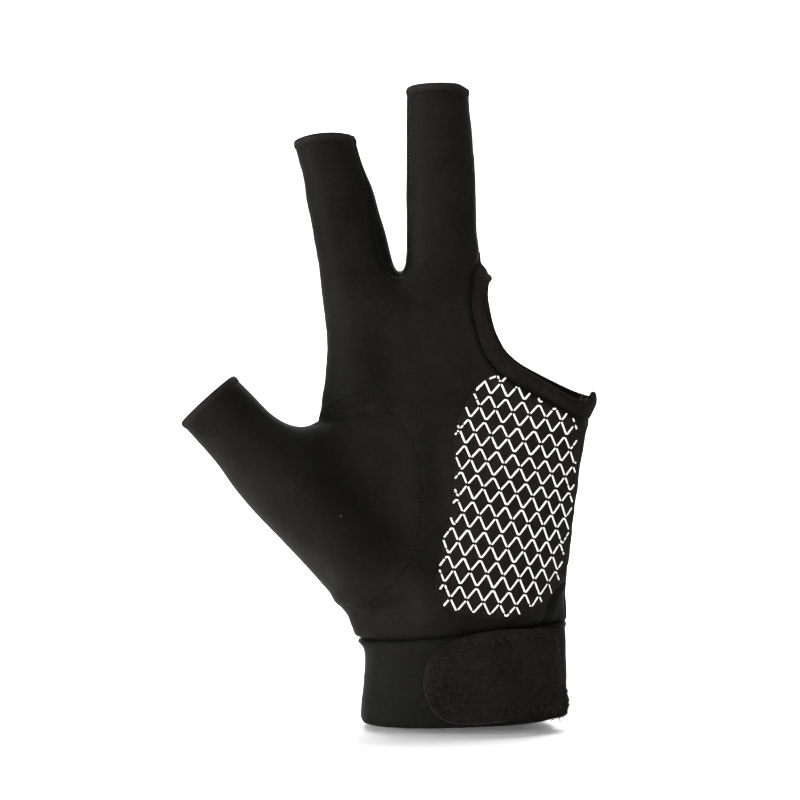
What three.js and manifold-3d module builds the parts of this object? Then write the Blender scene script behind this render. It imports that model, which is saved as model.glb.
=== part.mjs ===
// A billiard glove for the left hand, in the form that it has when worn.
// Millimetres, +Z up the fingers, the palm faces -Y, the thumb points to -X.
// The origin is the middle of the wrist opening.

import * as THREE from 'three';
import { triTable } from 'three/addons/objects/MarchingCubes.js';
import { mergeVertices } from 'three/addons/utils/BufferGeometryUtils.js';
import Module from 'manifold-3d';

const wasm = await Module();
wasm.setup();

// Hand sizes, over the outside of the cloth
const palmLength = 124.8;
const palmBreadth = 77;
const palmDepth = 27;
const wristBreadth = 53.2;
const wristDepth = 36;
const indexLength = 37.4;
const indexWidth = 20.6;
const indexTilt = 13.4;
const middleLength = 51;
const middleWidth = 19.6;
const middleTilt = 1.3;
const fingerDepth = 16.4;
const ringWidth = 19;
const thumbLength = 64;
const thumbWidth = 22.8;
const thumbDepth = 21;
const thumbTilt = 42.8;
const webLength = 20;
const webWidth = 17;
const webDepth = 14;
const webTilt = 22;

// Cloth, hems, binding and cuff
const clothWall = 1.2;
const hemHeight = 2.2;
const hemStep = 0.2;
const indexHemTilt = 5.1;
const middleHemTilt = 1;
const thumbHemTilt = 42.5;
const bindingHeight = 4.2;
const bindingStep = 0.45;
const openingLean = 0.16;
const seamForward = 4.2;
const gussetBack = 3.6;
const cuffHeight = 24.4;
const cuffStep = 0.9;
const cuffTopTilt = 5.2;
const wristTilt = 1.8;

// Closure tab, grip patch and its print
const tabLength = 40.4;
const tabHeight = 25.2;
const tabThickness = 1.6;
const tabRise = 0.6;
const patchThickness = 0.8;
const printHeight = 0.4;
const printLine = 0.75;
const printAcross = 4.62;
const printUp = 7.42;
const printTilt = -9.6;

// Clearance between pieces, the grid that the cloth's surface is found on, and a length past every edge
const gap = 0.3;
const gridAcross = 5.3;
const gridUp = 8.4;
const gridWeb = 3.6;
const webZone = 8;
const beyond = 60;
const relaxPasses = 4;

// Sections of the hand form. along is a share of the limb's length, shift and wide are shares of its width, front,
// back and forward shares of its depth. spread goes from 0, the wrist's sizes, to 1, the palm's.
const palmRows = [
  { along: -0.09, shift: -0.013, spread: 0, front: 1, back: 1 },
  { along: 0.08, shift: -0.013, spread: 0, front: 1, back: 1 },
  { along: 0.15, shift: -0.011, spread: 0.01, front: 1, back: 0.98 },
  { along: 0.22, shift: -0.022, spread: 0.22, front: 1.01, back: 0.95 },
  { along: 0.35, shift: -0.025, spread: 0.37, front: 1.03, back: 0.95 },
  { along: 0.48, shift: -0.026, spread: 0.55, front: 1.03, back: 0.98 },
  { along: 0.62, shift: -0.025, spread: 0.74, front: 1.02, back: 1.02 },
  { along: 0.73, shift: -0.012, spread: 0.96, front: 1, back: 1.05 },
  { along: 0.84, shift: 0.006, spread: 0.98, front: 0.94, back: 1.03 },
  { along: 0.97, shift: 0.006, spread: 0.98, front: 0.86, back: 0.96 },
];
const indexRows = [
  { along: -0.9, shift: 0.03, wide: 0.8, front: 1, back: 1.1, forward: 0 },
  { along: -0.3, shift: 0.02, wide: 0.93, front: 1.05, back: 1.1, forward: 0 },
  { along: 0, shift: 0.01, wide: 1, front: 1.04, back: 1.06, forward: 0.02 },
  { along: 0.31, shift: 0.015, wide: 0.955, front: 1, back: 1, forward: 0.03 },
  { along: 0.55, shift: 0.017, wide: 0.925, front: 0.97, back: 0.97, forward: 0.04 },
  { along: 0.77, shift: 0.005, wide: 0.85, front: 0.94, back: 0.94, forward: 0.06 },
  { along: 1, shift: -0.008, wide: 0.83, front: 0.92, back: 0.92, forward: 0.07 },
  { along: 1.3, shift: -0.01, wide: 0.82, front: 0.92, back: 0.92, forward: 0.08 },
];
const middleRows = [
  { along: -0.7, shift: 0, wide: 0.96, front: 1, back: 1.1, forward: 0 },
  { along: -0.2, shift: 0, wide: 1.05, front: 1.06, back: 1.12, forward: 0 },
  { along: 0, shift: 0, wide: 1.06, front: 1.06, back: 1.08, forward: 0.02 },
  { along: 0.15, shift: 0, wide: 1.01, front: 1.03, back: 1.04, forward: 0.03 },
  { along: 0.46, shift: 0.005, wide: 0.985, front: 1, back: 1, forward: 0.04 },
  { along: 0.7, shift: 0.003, wide: 0.94, front: 0.97, back: 0.97, forward: 0.06 },
  { along: 1, shift: 0.003, wide: 0.85, front: 0.94, back: 0.94, forward: 0.08 },
  { along: 1.25, shift: -0.005, wide: 0.85, front: 0.94, back: 0.94, forward: 0.09 },
];
const ringRows = [
  { along: -0.7, shift: 0, wide: 0.94, front: 1, back: 1.1, forward: 0 },
  { along: 0, shift: 0, wide: 1, front: 1, back: 1.05, forward: 0.02 },
  { along: 0.4, shift: 0, wide: 0.96, front: 0.94, back: 0.94, forward: 0.1 },
];
const webRows = [
  { along: -0.5, shift: 0, wide: 1, front: 1, back: 1, forward: 0.1 },
  { along: 0, shift: 0, wide: 1, front: 1, back: 1, forward: 0.15 },
  { along: 1, shift: 0, wide: 0.9, front: 0.9, back: 0.9, forward: 0.2 },
];
const thumbRows = [
  { along: -0.16, shift: 0, wide: 0.84, front: 0.9, back: 0.85, forward: 0.4 },
  { along: 0.08, shift: 0, wide: 0.97, front: 1.1, back: 1, forward: 0.38 },
  { along: 0.38, shift: 0, wide: 1.02, front: 1.14, back: 1.02, forward: 0.36 },
  { along: 0.62, shift: -0.01, wide: 0.98, front: 1, back: 1, forward: 0.36 },
  { along: 0.8, shift: 0, wide: 0.89, front: 0.9, back: 0.92, forward: 0.38 },
  { along: 1, shift: -0.01, wide: 0.86, front: 0.87, back: 0.88, forward: 0.42 },
  { along: 1.25, shift: -0.01, wide: 0.84, front: 0.86, back: 0.86, forward: 0.46 },
];

// Seams and edges on the palm side. across is a share of the palm's breadth, up a share of its length.
const openingRows = [
  { across: 0.052, up: 1.008 },
  { across: 0.087, up: 0.98 },
  { across: 0.077, up: 0.949 },
  { across: 0.079, up: 0.918 },
  { across: 0.09, up: 0.884 },
  { across: 0.126, up: 0.826 },
  { across: 0.197, up: 0.774 },
  { across: 0.324, up: 0.731 },
  { across: 0.417, up: 0.71 },
  { across: 0.468, up: 0.716 },
  { across: 0.5, up: 0.726 },
];
const thumbSeamRows = [
  { across: -0.537, up: 0.664 },
  { across: -0.487, up: 0.69 },
  { across: -0.429, up: 0.712 },
  { across: -0.386, up: 0.72 },
  { across: -0.339, up: 0.714 },
  { across: -0.293, up: 0.698 },
  { across: -0.243, up: 0.671 },
  { across: -0.173, up: 0.595 },
  { across: -0.148, up: 0.501 },
  { across: -0.173, up: 0.391 },
  { across: -0.247, up: 0.311 },
  { across: -0.343, up: 0.267 },
  { across: -0.439, up: 0.252 },
];
const thumbBackRows = [
  { across: -0.537, up: 0.664 },
  { across: -0.478, up: 0.63 },
  { across: -0.41, up: 0.54 },
  { across: -0.38, up: 0.43 },
  { across: -0.395, up: 0.33 },
  { across: -0.439, up: 0.252 },
];
const patchRows = [
  { across: 0.1, up: 0.768 },
  { across: 0.15, up: 0.747 },
  { across: 0.22, up: 0.72 },
  { across: 0.31, up: 0.692 },
  { across: 0.44, up: 0.648 },
  { across: 0.6, up: 0.6 },
  { across: 0.6, up: 0.39 },
  { across: 0.375, up: 0.327 },
  { across: 0.31, up: 0.277 },
  { across: 0.23, up: 0.24 },
  { across: 0.083, up: 0.232 },
  { across: -0.034, up: 0.243 },
  { across: -0.1, up: 0.28 },
  { across: -0.109, up: 0.32 },
  { across: -0.07, up: 0.42 },
  { across: -0.045, up: 0.5 },
  { across: -0.045, up: 0.62 },
  { across: -0.013, up: 0.686 },
  { across: 0.04, up: 0.74 },
];

// The outline of the tab: along from the side seam to the rounded end, up from its lower edge
const tabRows = [
  { along: -0.5, up: 0.98 },
  { along: 0.1, up: 0.99 },
  { along: 0.44, up: 1 },
  { along: 0.61, up: 0.965 },
  { along: 0.78, up: 0.9 },
  { along: 0.9, up: 0.8 },
  { along: 0.97, up: 0.67 },
  { along: 1, up: 0.5 },
  { along: 0.99, up: 0.32 },
  { along: 0.94, up: 0.15 },
  { along: 0.84, up: 0.03 },
  { along: 0.7, up: 0 },
  { along: 0.44, up: 0.03 },
  { along: -0.5, up: 0.05 },
];

// Dents and creases in the worn cloth, from one place to another; wide and deep are shares of the palm's depth
const foldRows = [
  { across: -0.5, up: 0.67, toAcross: -0.36, toUp: 0.69, wide: 0.14, deep: 0.05 },
  { across: -0.37, up: 0.24, toAcross: -0.2, toUp: 0.27, wide: 0.15, deep: 0.04 },
  { across: 0.33, up: 0.33, toAcross: 0.28, toUp: 0.2, wide: 0.13, deep: 0.04 },
  { across: -0.1, up: 0.62, toAcross: -0.09, toUp: 0.36, wide: 0.24, deep: 0.05 },
];

const radians = THREE.MathUtils.degToRad;
const acrossPalm = (share) => share * palmBreadth;
const upPalm = (share) => share * palmLength;
const palmPoint = (row) => new THREE.Vector2(acrossPalm(row.across), upPalm(row.up));

// A limb: where its axis starts, how it leans, how square its sections are, and the sections in millimetres
function limb(root, tilt, length, width, depth, squareness, rows) {
  const sections = rows.map((row) => ({
    at: row.along * length,
    shift: row.shift * width,
    half: row.wide * width / 2,
    front: row.front * depth / 2,
    back: row.back * depth / 2,
    forward: row.forward * depth,
  }));
  return { root, lean: radians(tilt), squareness, sections };
}

function palmLimb() {
  const { lerp } = THREE.MathUtils;
  const sections = palmRows.map((row) => ({
    at: row.along * palmLength,
    shift: row.shift * palmBreadth,
    half: lerp(wristBreadth, palmBreadth, row.spread) / 2,
    front: row.front * lerp(wristDepth, palmDepth, row.spread) / 2,
    back: row.back * lerp(wristDepth, palmDepth, row.spread) / 2,
    forward: 0,
  }));
  return { root: new THREE.Vector2(0, 0), lean: 0, squareness: 2.4, sections };
}

const rootOf = (across, up) => palmPoint({ across, up });
const indexRoot = rootOf(-0.39, 0.998);
const middleRoot = rootOf(-0.08, 0.998);
const ringRoot = rootOf(0.228, 0.965);
const thumbRoot = rootOf(-0.355, 0.333);
const webRoot = rootOf(-0.455, 0.5);
const ringTilt = -9;

const palm = palmLimb();
const index = limb(indexRoot, indexTilt, indexLength, indexWidth, fingerDepth, 2.15, indexRows);
const middle = limb(middleRoot, middleTilt, middleLength, middleWidth, fingerDepth, 2.15, middleRows);
const ring = limb(ringRoot, ringTilt, middleLength, ringWidth, fingerDepth, 2.15, ringRows);
const web = limb(webRoot, webTilt, webLength, webWidth, webDepth, 2.1, webRows);
const thumb = limb(thumbRoot, thumbTilt, thumbLength, thumbWidth, thumbDepth, 2.1, thumbRows);

// How softly the limbs run into each other, in millimetres of fillet
const softFingers = 2.4;
const softKnuckles = 7;
const softThumb = 9;
const softEnd = 9;

// A smooth curve through one column of the sections, at a place along the limb
function smoothColumn(sections, row, share, name) {
  const last = sections.length - 1;
  const before = sections[Math.max(row - 1, 0)];
  const from = sections[row];
  const to = sections[row + 1];
  const after = sections[Math.min(row + 2, last)];
  const span = to.at - from.at;
  const startSlope = span * (to[name] - before[name]) / (to.at - before.at);
  const endSlope = span * (after[name] - from[name]) / (after.at - from.at);
  const t = share;
  const rise = to[name] - from[name];
  return from[name] + startSlope * t * (1 - t) ** 2 - endSlope * t * t * (1 - t) + rise * t * t * (3 - 2 * t);
}

function softMin(a, b, softness) {
  const near = Math.max(softness - Math.abs(a - b), 0);
  return Math.min(a, b) - near * near / (4 * softness);
}

// Signed distance to one limb, to first order near its surface: negative inside
function limbDistance(form, x, y, z) {
  const { sections, lean, root, squareness } = form;
  const dx = x - root.x;
  const dz = z - root.y;
  const along = dz * Math.cos(lean) - dx * Math.sin(lean);
  const side = dx * Math.cos(lean) + dz * Math.sin(lean);
  const last = sections.length - 1;
  let row = 0;
  while (row < last - 1 && along > sections[row + 1].at) row += 1;
  const span = sections[row + 1].at - sections[row].at;
  const share = THREE.MathUtils.clamp((along - sections[row].at) / span, 0, 1);
  const column = (name) => smoothColumn(sections, row, share, name);
  const half = column('half');
  const level = y + column('forward');
  const depth = level < 0 ? column('front') : column('back');
  const u = Math.abs(side - column('shift')) / half;
  const v = Math.abs(level) / depth;
  const size = Math.max((u ** squareness + v ** squareness) ** (1 / squareness), 1e-3);
  const slope = Math.hypot((u / size) ** (squareness - 1) / half, (v / size) ** (squareness - 1) / depth);
  const around = (size - 1) / slope;
  const pastEnd = Math.max(along - sections[last].at, sections[0].at - along);
  return -softMin(-around, -pastEnd, softEnd);
}

// A fold presses the surface in along its line and fades at both ends
const folds = foldRows.map((row) => ({
  from: palmPoint(row),
  to: palmPoint({ across: row.toAcross, up: row.toUp }),
  wide: row.wide * palmDepth,
  deep: row.deep * palmDepth,
}));

function foldDepth(x, y, z) {
  if (y > 0) return 0;
  let sum = 0;
  for (const fold of folds) {
    const run = fold.to.clone().sub(fold.from);
    const start = new THREE.Vector2(x, z).sub(fold.from);
    const share = start.dot(run) / run.lengthSq();
    const held = THREE.MathUtils.clamp(share, 0, 1);
    const away = start.sub(run.multiplyScalar(held)).length() / fold.wide;
    sum += fold.deep * Math.exp(-away * away * 2) * Math.min(1, -y / seamForward);
  }
  return sum;
}

// Signed distance to the outside of the cloth
function clothDistance(x, y, z) {
  const twoFingers = softMin(limbDistance(index, x, y, z), limbDistance(middle, x, y, z), softFingers);
  const fingers = softMin(twoFingers, limbDistance(ring, x, y, z), softFingers);
  const knuckles = softMin(limbDistance(palm, x, y, z), fingers, softKnuckles);
  const hand = softMin(knuckles, limbDistance(web, x, y, z), softKnuckles);
  return softMin(hand, limbDistance(thumb, x, y, z), softThumb) + foldDepth(x, y, z);
}

function clothNormal(x, y, z) {
  const step = 0.05;
  return new THREE.Vector3(
    clothDistance(x + step, y, z) - clothDistance(x - step, y, z),
    clothDistance(x, y + step, z) - clothDistance(x, y - step, z),
    clothDistance(x, y, z + step) - clothDistance(x, y, z - step),
  ).divideScalar(2 * step);
}

// Moves a point along the steepest way until it lies on the outside of the cloth
function settle(point) {
  for (let pass = 0; pass < 3; pass += 1) {
    const slope = clothNormal(point.x, point.y, point.z);
    const off = clothDistance(point.x, point.y, point.z);
    point.addScaledVector(slope, -off / Math.max(slope.lengthSq(), 0.2));
  }
}

// Grid planes from one place to another, closer together round the web between the stalls
function planes(from, to, step, webAt = Infinity) {
  const list = [from];
  while (list[list.length - 1] < to) {
    const here = list[list.length - 1];
    const close = Math.abs(here - webAt) < webZone;
    list.push(here + (close ? gridWeb : step));
  }
  return list;
}

// The box that all limbs lie in
function reachOf(forms) {
  const box = new THREE.Box3();
  for (const { root, lean, sections } of forms) {
    for (const { at, shift, half, front, back, forward } of sections) {
      const x = root.x - at * Math.sin(lean) + shift * Math.cos(lean);
      const z = root.y + at * Math.cos(lean) + shift * Math.sin(lean);
      const wideX = half * Math.cos(lean);
      const wideZ = half * Math.abs(Math.sin(lean));
      box.expandByPoint(new THREE.Vector3(x - wideX, -front - forward, z - wideZ));
      box.expandByPoint(new THREE.Vector3(x + wideX, back - forward, z + wideZ));
    }
  }
  return box.expandByScalar(gridAcross);
}

// The closed surface where the distance is zero, as points and triangles, by marching through the grid's cells
function marchSurface(xs, ys, zs) {
  const values = xs.map((x) => ys.map((y) => zs.map((z) => clothDistance(x, y, z))));
  const corners = [[0, 0, 0], [1, 0, 0], [1, 1, 0], [0, 1, 0], [0, 0, 1], [1, 0, 1], [1, 1, 1], [0, 1, 1]];
  const edges = [[0, 1], [1, 2], [2, 3], [3, 0], [4, 5], [5, 6], [6, 7], [7, 4], [0, 4], [1, 5], [2, 6], [3, 7]];
  const points = [];
  const triangles = [];
  const known = new Map();
  const valueAt = ([i, j, k]) => values[i][j][k];
  const placeAt = ([i, j, k]) => new THREE.Vector3(xs[i], ys[j], zs[k]);
  const crossing = (a, b) => {
    const key = valueAt(a) < valueAt(b) ? `${a}_${b}` : `${b}_${a}`;
    if (!known.has(key)) {
      known.set(key, points.length);
      const share = valueAt(a) / (valueAt(a) - valueAt(b));
      points.push(placeAt(a).lerp(placeAt(b), THREE.MathUtils.clamp(share, 0.1, 0.9)));
    }
    return known.get(key);
  };
  for (let i = 0; i < xs.length - 1; i += 1) {
    for (let j = 0; j < ys.length - 1; j += 1) {
      for (let k = 0; k < zs.length - 1; k += 1) {
        const cell = corners.map((c) => [i + c[0], j + c[1], k + c[2]]);
        const kind = cell.reduce((sum, c, bit) => sum + (valueAt(c) < 0 ? 1 << bit : 0), 0);
        for (let t = kind * 16; triTable[t] !== -1; t += 3) {
          const ends = [2, 1, 0].map((n) => edges[triTable[t + n]]);
          triangles.push(ends.map((edge) => crossing(cell[edge[0]], cell[edge[1]])));
        }
      }
    }
  }
  return { points, triangles };
}

// Evens the points out along the surface, so that the triangles get alike
function relax(surface, passes) {
  const around = surface.points.map(() => new Set());
  for (const [a, b, c] of surface.triangles) {
    around[a].add(b).add(c);
    around[b].add(a).add(c);
    around[c].add(a).add(b);
  }
  for (let pass = 0; pass < passes; pass += 1) {
    const middles = around.map((near) => {
      const sum = new THREE.Vector3();
      for (const n of near) sum.add(surface.points[n]);
      return sum.divideScalar(near.size);
    });
    surface.points.forEach((point, n) => {
      point.lerp(middles[n], 0.5);
      settle(point);
    });
  }
}

function solidFrom(positions, triangles) {
  const geometry = new THREE.BufferGeometry();
  geometry.setAttribute('position', new THREE.Float32BufferAttribute(positions, 3));
  geometry.setIndex(triangles.flat());
  return solidOf(geometry);
}

// A closed three.js geometry as a solid that can be joined and cut
function solidOf(geometry) {
  const plain = geometry.clone();
  plain.deleteAttribute('normal');
  plain.deleteAttribute('uv');
  const merged = mergeVertices(plain, 1e-4);
  return new wasm.Manifold(new wasm.Mesh({
    numProp: 3,
    vertProperties: new Float32Array(merged.attributes.position.array),
    triVerts: new Uint32Array(merged.index.array),
  }));
}

const reach = reachOf([palm, index, middle, ring, web, thumb]);
const surface = marchSurface(
  planes(reach.min.x, reach.max.x, gridAcross, (indexRoot.x + middleRoot.x) / 2),
  planes(reach.min.y, reach.max.y, gridAcross),
  planes(reach.min.z, reach.max.z, gridUp, upPalm(1)),
);
relax(surface, relaxPasses);
const normals = surface.points.map((p) => clothNormal(p.x, p.y, p.z).normalize());

// The hand form made larger or smaller by a step along its normals
function formAt(step) {
  const positions = surface.points.flatMap((p, n) => p.clone().addScaledVector(normals[n], step).toArray());
  return solidFrom(positions, surface.triangles);
}

const layer = (from, to) => formAt(to).subtract(formAt(from));

// A prism along Y over an outline in X and Z; lean shifts it up towards the back of the hand
function prism(outline, fromY, toY, lean = 0) {
  const ordered = THREE.ShapeUtils.area(outline) < 0 ? [...outline].reverse() : outline;
  const geometry = new THREE.ExtrudeGeometry(new THREE.Shape(ordered), { depth: toY - fromY, bevelEnabled: false });
  geometry.rotateX(Math.PI / 2);
  geometry.translate(0, toY, 0);
  const place = geometry.attributes.position;
  for (let n = 0; n < place.count; n += 1) {
    place.setZ(n, place.getZ(n) + lean * (place.getY(n) + palmDepth / 2));
  }
  return solidOf(geometry);
}

// A smooth curve through a few points, stepped every few millimetres
function smoothLine(points, step) {
  const curve = new THREE.SplineCurve(points);
  return curve.getSpacedPoints(Math.max(2, Math.round(curve.getLength() / step)));
}

// An open line moved sideways to its left by a distance for each point
function movedLine(line, distances) {
  return line.map((point, n) => {
    const run = line[Math.min(n + 1, line.length - 1)].clone().sub(line[Math.max(n - 1, 0)]).normalize();
    return new THREE.Vector2(point.x - run.y * distances[n], point.y + run.x * distances[n]);
  });
}

const point = (x, z) => new THREE.Vector2(x, z);
const fixed = (line, distance) => movedLine(line, line.map(() => distance));
const lineStep = 4.5;

// The region of the thumb panel, made larger by a clearance
function thumbRegion(clearance) {
  const region = (rows, fromY, toY) => {
    const line = fixed(smoothLine(rows.map(palmPoint), lineStep), clearance);
    const first = line[0];
    const last = line[line.length - 1];
    const outline = [
      ...line,
      point(last.x - beyond, last.y - beyond / 6),
      point(first.x - beyond, first.y + beyond),
    ];
    return prism(outline, fromY, toY);
  };
  return region(thumbSeamRows, -beyond, 0).add(region(thumbBackRows, 0, beyond));
}

// The binding starts narrow at the web and soon has its full width
const bandStart = 0.3;
const bandGrowth = 7;
const bandAt = (share) => Math.min(1, bandStart + bandGrowth * share);

// What the ring and little finger opening cuts away, with the binding's band below its edge when bandCount is 1
function openingRegion(bandCount, clearance) {
  const line = smoothLine(openingRows.map(palmPoint), lineStep);
  const drops = line.map((p, n) => -bandCount * bindingHeight * bandAt(n / (line.length - 1)) - clearance);
  const moved = movedLine(line, drops);
  const first = line[0];
  const last = moved[moved.length - 1];
  const outline = [
    point(first.x + beyond, first.y + beyond),
    point(first.x + gap, first.y + beyond),
    point(first.x + gap, first.y + bindingHeight),
    ...moved,
    point(last.x + beyond, last.y),
  ];
  return prism(outline, -beyond, beyond, openingLean);
}

// A box that is turned in the palm's plane, from one height to another above a place
function leaningBox(place, tilt, low, high, width) {
  const geometry = new THREE.BoxGeometry(width, 2 * beyond, high - low);
  geometry.translate(0, 0, (high + low) / 2);
  geometry.rotateY(-radians(tilt));
  geometry.translate(place.x, 0, place.y);
  return solidOf(geometry);
}

const stalls = [
  { name: 'index', root: indexRoot, tilt: indexTilt, length: indexLength, width: indexWidth, hemTilt: indexHemTilt },
  { name: 'middle', root: middleRoot, tilt: middleTilt, length: middleLength, width: middleWidth, hemTilt: middleHemTilt },
  { name: 'thumb', root: thumbRoot, tilt: thumbTilt, length: thumbLength, width: thumbWidth, hemTilt: thumbHemTilt },
];

const stallEnd = (stall) => {
  const lean = radians(stall.tilt);
  return point(-Math.sin(lean), Math.cos(lean)).multiplyScalar(stall.length).add(stall.root);
};
const endBox = (stall, low, high) => leaningBox(stallEnd(stall), stall.hemTilt, low, high, stall.width * 1.5);
const pastStall = (stall, below) => endBox(stall, -below, stall.length * 0.6);

const wristPlace = point(0, 0);
const belowWrist = leaningBox(wristPlace, wristTilt, -beyond, 0, 3 * beyond);
const belowCuffTop = (clearance) => (
  leaningBox(point(0, cuffHeight + clearance), cuffTopTilt, -beyond, 0, 3 * beyond)
);

const palmSide = (forward) => leaningBox(wristPlace, 0, -beyond, 4 * beyond, 5 * beyond)
  .translate([0, -beyond - forward, 0]);

// The strip between the index and middle stalls: from one stall's middle to the other's, above the web
function gussetRegion(clearance) {
  const indexTop = stallEnd(stalls[0]);
  const middleTop = stallEnd(stalls[1]);
  const bottom = upPalm(1) - fingerDepth * 0.6 - clearance;
  const outline = [
    point(indexRoot.x - clearance, bottom),
    point(middleRoot.x + clearance, bottom),
    point(middleTop.x + clearance, middleTop.y + beyond),
    point(indexTop.x - clearance, middleTop.y + beyond),
    point(indexTop.x - clearance, indexTop.y),
  ];
  return prism(outline, -seamForward - clearance, gussetBack + clearance);
}

// The cloth, one wall thick, open at the wrist, at the stalls and at the opening for the free fingers
const regions = {
  thumb: thumbRegion(0),
  thumbSeam: thumbRegion(gap),
  gusset: gussetRegion(0),
  gussetSeam: gussetRegion(gap),
  palm: palmSide(seamForward),
  palmSeam: palmSide(seamForward - gap),
  opening: openingRegion(0, 0),
  openingSeam: openingRegion(1, gap),
  binding: openingRegion(1, 0),
};

const minus = (solid, ...cutters) => cutters.reduce((left, cutter) => left.subtract(cutter), solid);
const cloth = minus(
  layer(-clothWall, 0),
  ...stalls.map((stall) => pastStall(stall, hemHeight + gap)),
  belowCuffTop(gap),
  regions.openingSeam,
);

const pieces = [];
function piece(name, solid, colour, roughness) {
  const mesh = solid.getMesh();
  const geometry = new THREE.BufferGeometry();
  geometry.setAttribute('position', new THREE.BufferAttribute(new Float32Array(mesh.vertProperties), 3));
  geometry.setIndex(new THREE.BufferAttribute(new Uint32Array(mesh.triVerts), 1));
  geometry.computeVertexNormals();
  const material = new THREE.MeshStandardMaterial({ color: colour, roughness, metalness: 0 });
  const made = new THREE.Mesh(geometry, material);
  made.name = name;
  pieces.push(made);
}

const knitColour = 0x1f1f1d;
const trimColour = 0x2a2624;
const patchColour = 0x2b2926;
const printColour = 0xf4f4f2;

// Panels
piece('thumb_panel', cloth.intersect(regions.thumb), knitColour, 0.6);
const hand = minus(cloth, regions.thumbSeam, regions.gussetSeam);
piece('palm_panel', hand.intersect(regions.palm), knitColour, 0.6);
piece('back_panel', minus(hand, regions.palmSeam), knitColour, 0.6);
piece('finger_gusset', cloth.intersect(regions.gusset), knitColour, 0.6);

// Hems, binding and cuff
const hemLayer = layer(-clothWall - hemStep, hemStep);
for (const stall of stalls) {
  piece(`${stall.name}_hem`, hemLayer.intersect(endBox(stall, -hemHeight, 0)), trimColour, 0.8);
}
const bindingLayer = layer(-clothWall - bindingStep, bindingStep);
piece('opening_binding', minus(bindingLayer.intersect(regions.binding), regions.opening), trimColour, 0.85);
const cuffLayer = layer(-clothWall, cuffStep);
piece('wrist_band', minus(cuffLayer.intersect(belowCuffTop(0)), belowWrist), knitColour, 0.7);

// The closure tab comes from the side seam and lies on the cuff
function tabRegion() {
  const line = smoothLine(tabRows.map((row) => (
    point(wristBreadth / 2 + cuffStep - row.along * tabLength, tabRise + row.up * tabHeight)
  )), lineStep);
  return prism(line, -beyond, -seamForward);
}
const tabLayer = layer(cuffStep + gap, cuffStep + gap + tabThickness);
piece('closure_tab', tabLayer.intersect(tabRegion()), trimColour, 0.9);

// The grip patch on the heel of the hand
const patchLine = smoothLine([...patchRows, patchRows[0]].map(palmPoint), lineStep).slice(0, -1);
const patchLayer = layer(gap, gap + patchThickness);
const patchRegion = minus(prism(patchLine, -beyond, -seamForward - gap), openingRegion(1, gap + bindingStep));
piece('grip_patch', patchLayer.intersect(patchRegion), patchColour, 0.9);

// The print: a net of crossing raised lines in a tilted diamond grid, laid on the patch
const printCorner = palmPoint({ across: 0.05, up: 0.695 });
const printStart = palmPoint({ across: 0.2, up: 0.5 });
const printMargin = 1.6;
const printFacing = 0.45;
const printLean = radians(printTilt);
const downRight = point(printAcross / 2, -printUp / 2).rotateAround(point(0, 0), printLean);
const downLeft = point(-printAcross / 2, -printUp / 2).rotateAround(point(0, 0), printLean);
const sideAngle = 2 * Math.atan2(printAcross, printUp);
const lineShare = printLine / 2 / Math.sin(sideAngle) / downRight.length();
const openingEdge = [
  ...fixed(smoothLine(openingRows.map(palmPoint), lineStep), -bindingHeight - gap - printMargin),
  point(beyond, 0),
  point(-beyond, 0),
  point(-beyond, upPalm(1)),
];
const printEdge = fixed(smoothLine([...patchRows, patchRows[0]].map(palmPoint), lineStep), -printMargin);

function insideLine(line, x, z) {
  let inside = false;
  line.forEach((a, n) => {
    const b = line[(n + 1) % line.length];
    const spans = (a.y > z) !== (b.y > z);
    if (spans && x < a.x + (b.x - a.x) * (z - a.y) / (b.y - a.y)) inside = !inside;
  });
  return inside;
}

const halvings = 24;

// The front of the hand form over a place in X and Z, raised by a height
function onPalm(x, z, height) {
  let low = reach.min.y;
  let high = 0;
  for (let pass = 0; pass < halvings; pass += 1) {
    const y = (low + high) / 2;
    if (clothDistance(x, y, z) > 0) low = y;
    else high = y;
  }
  const normal = clothNormal(x, high, z).normalize();
  return new THREE.Vector3(x, high, z).addScaledVector(normal, height);
}

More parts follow.
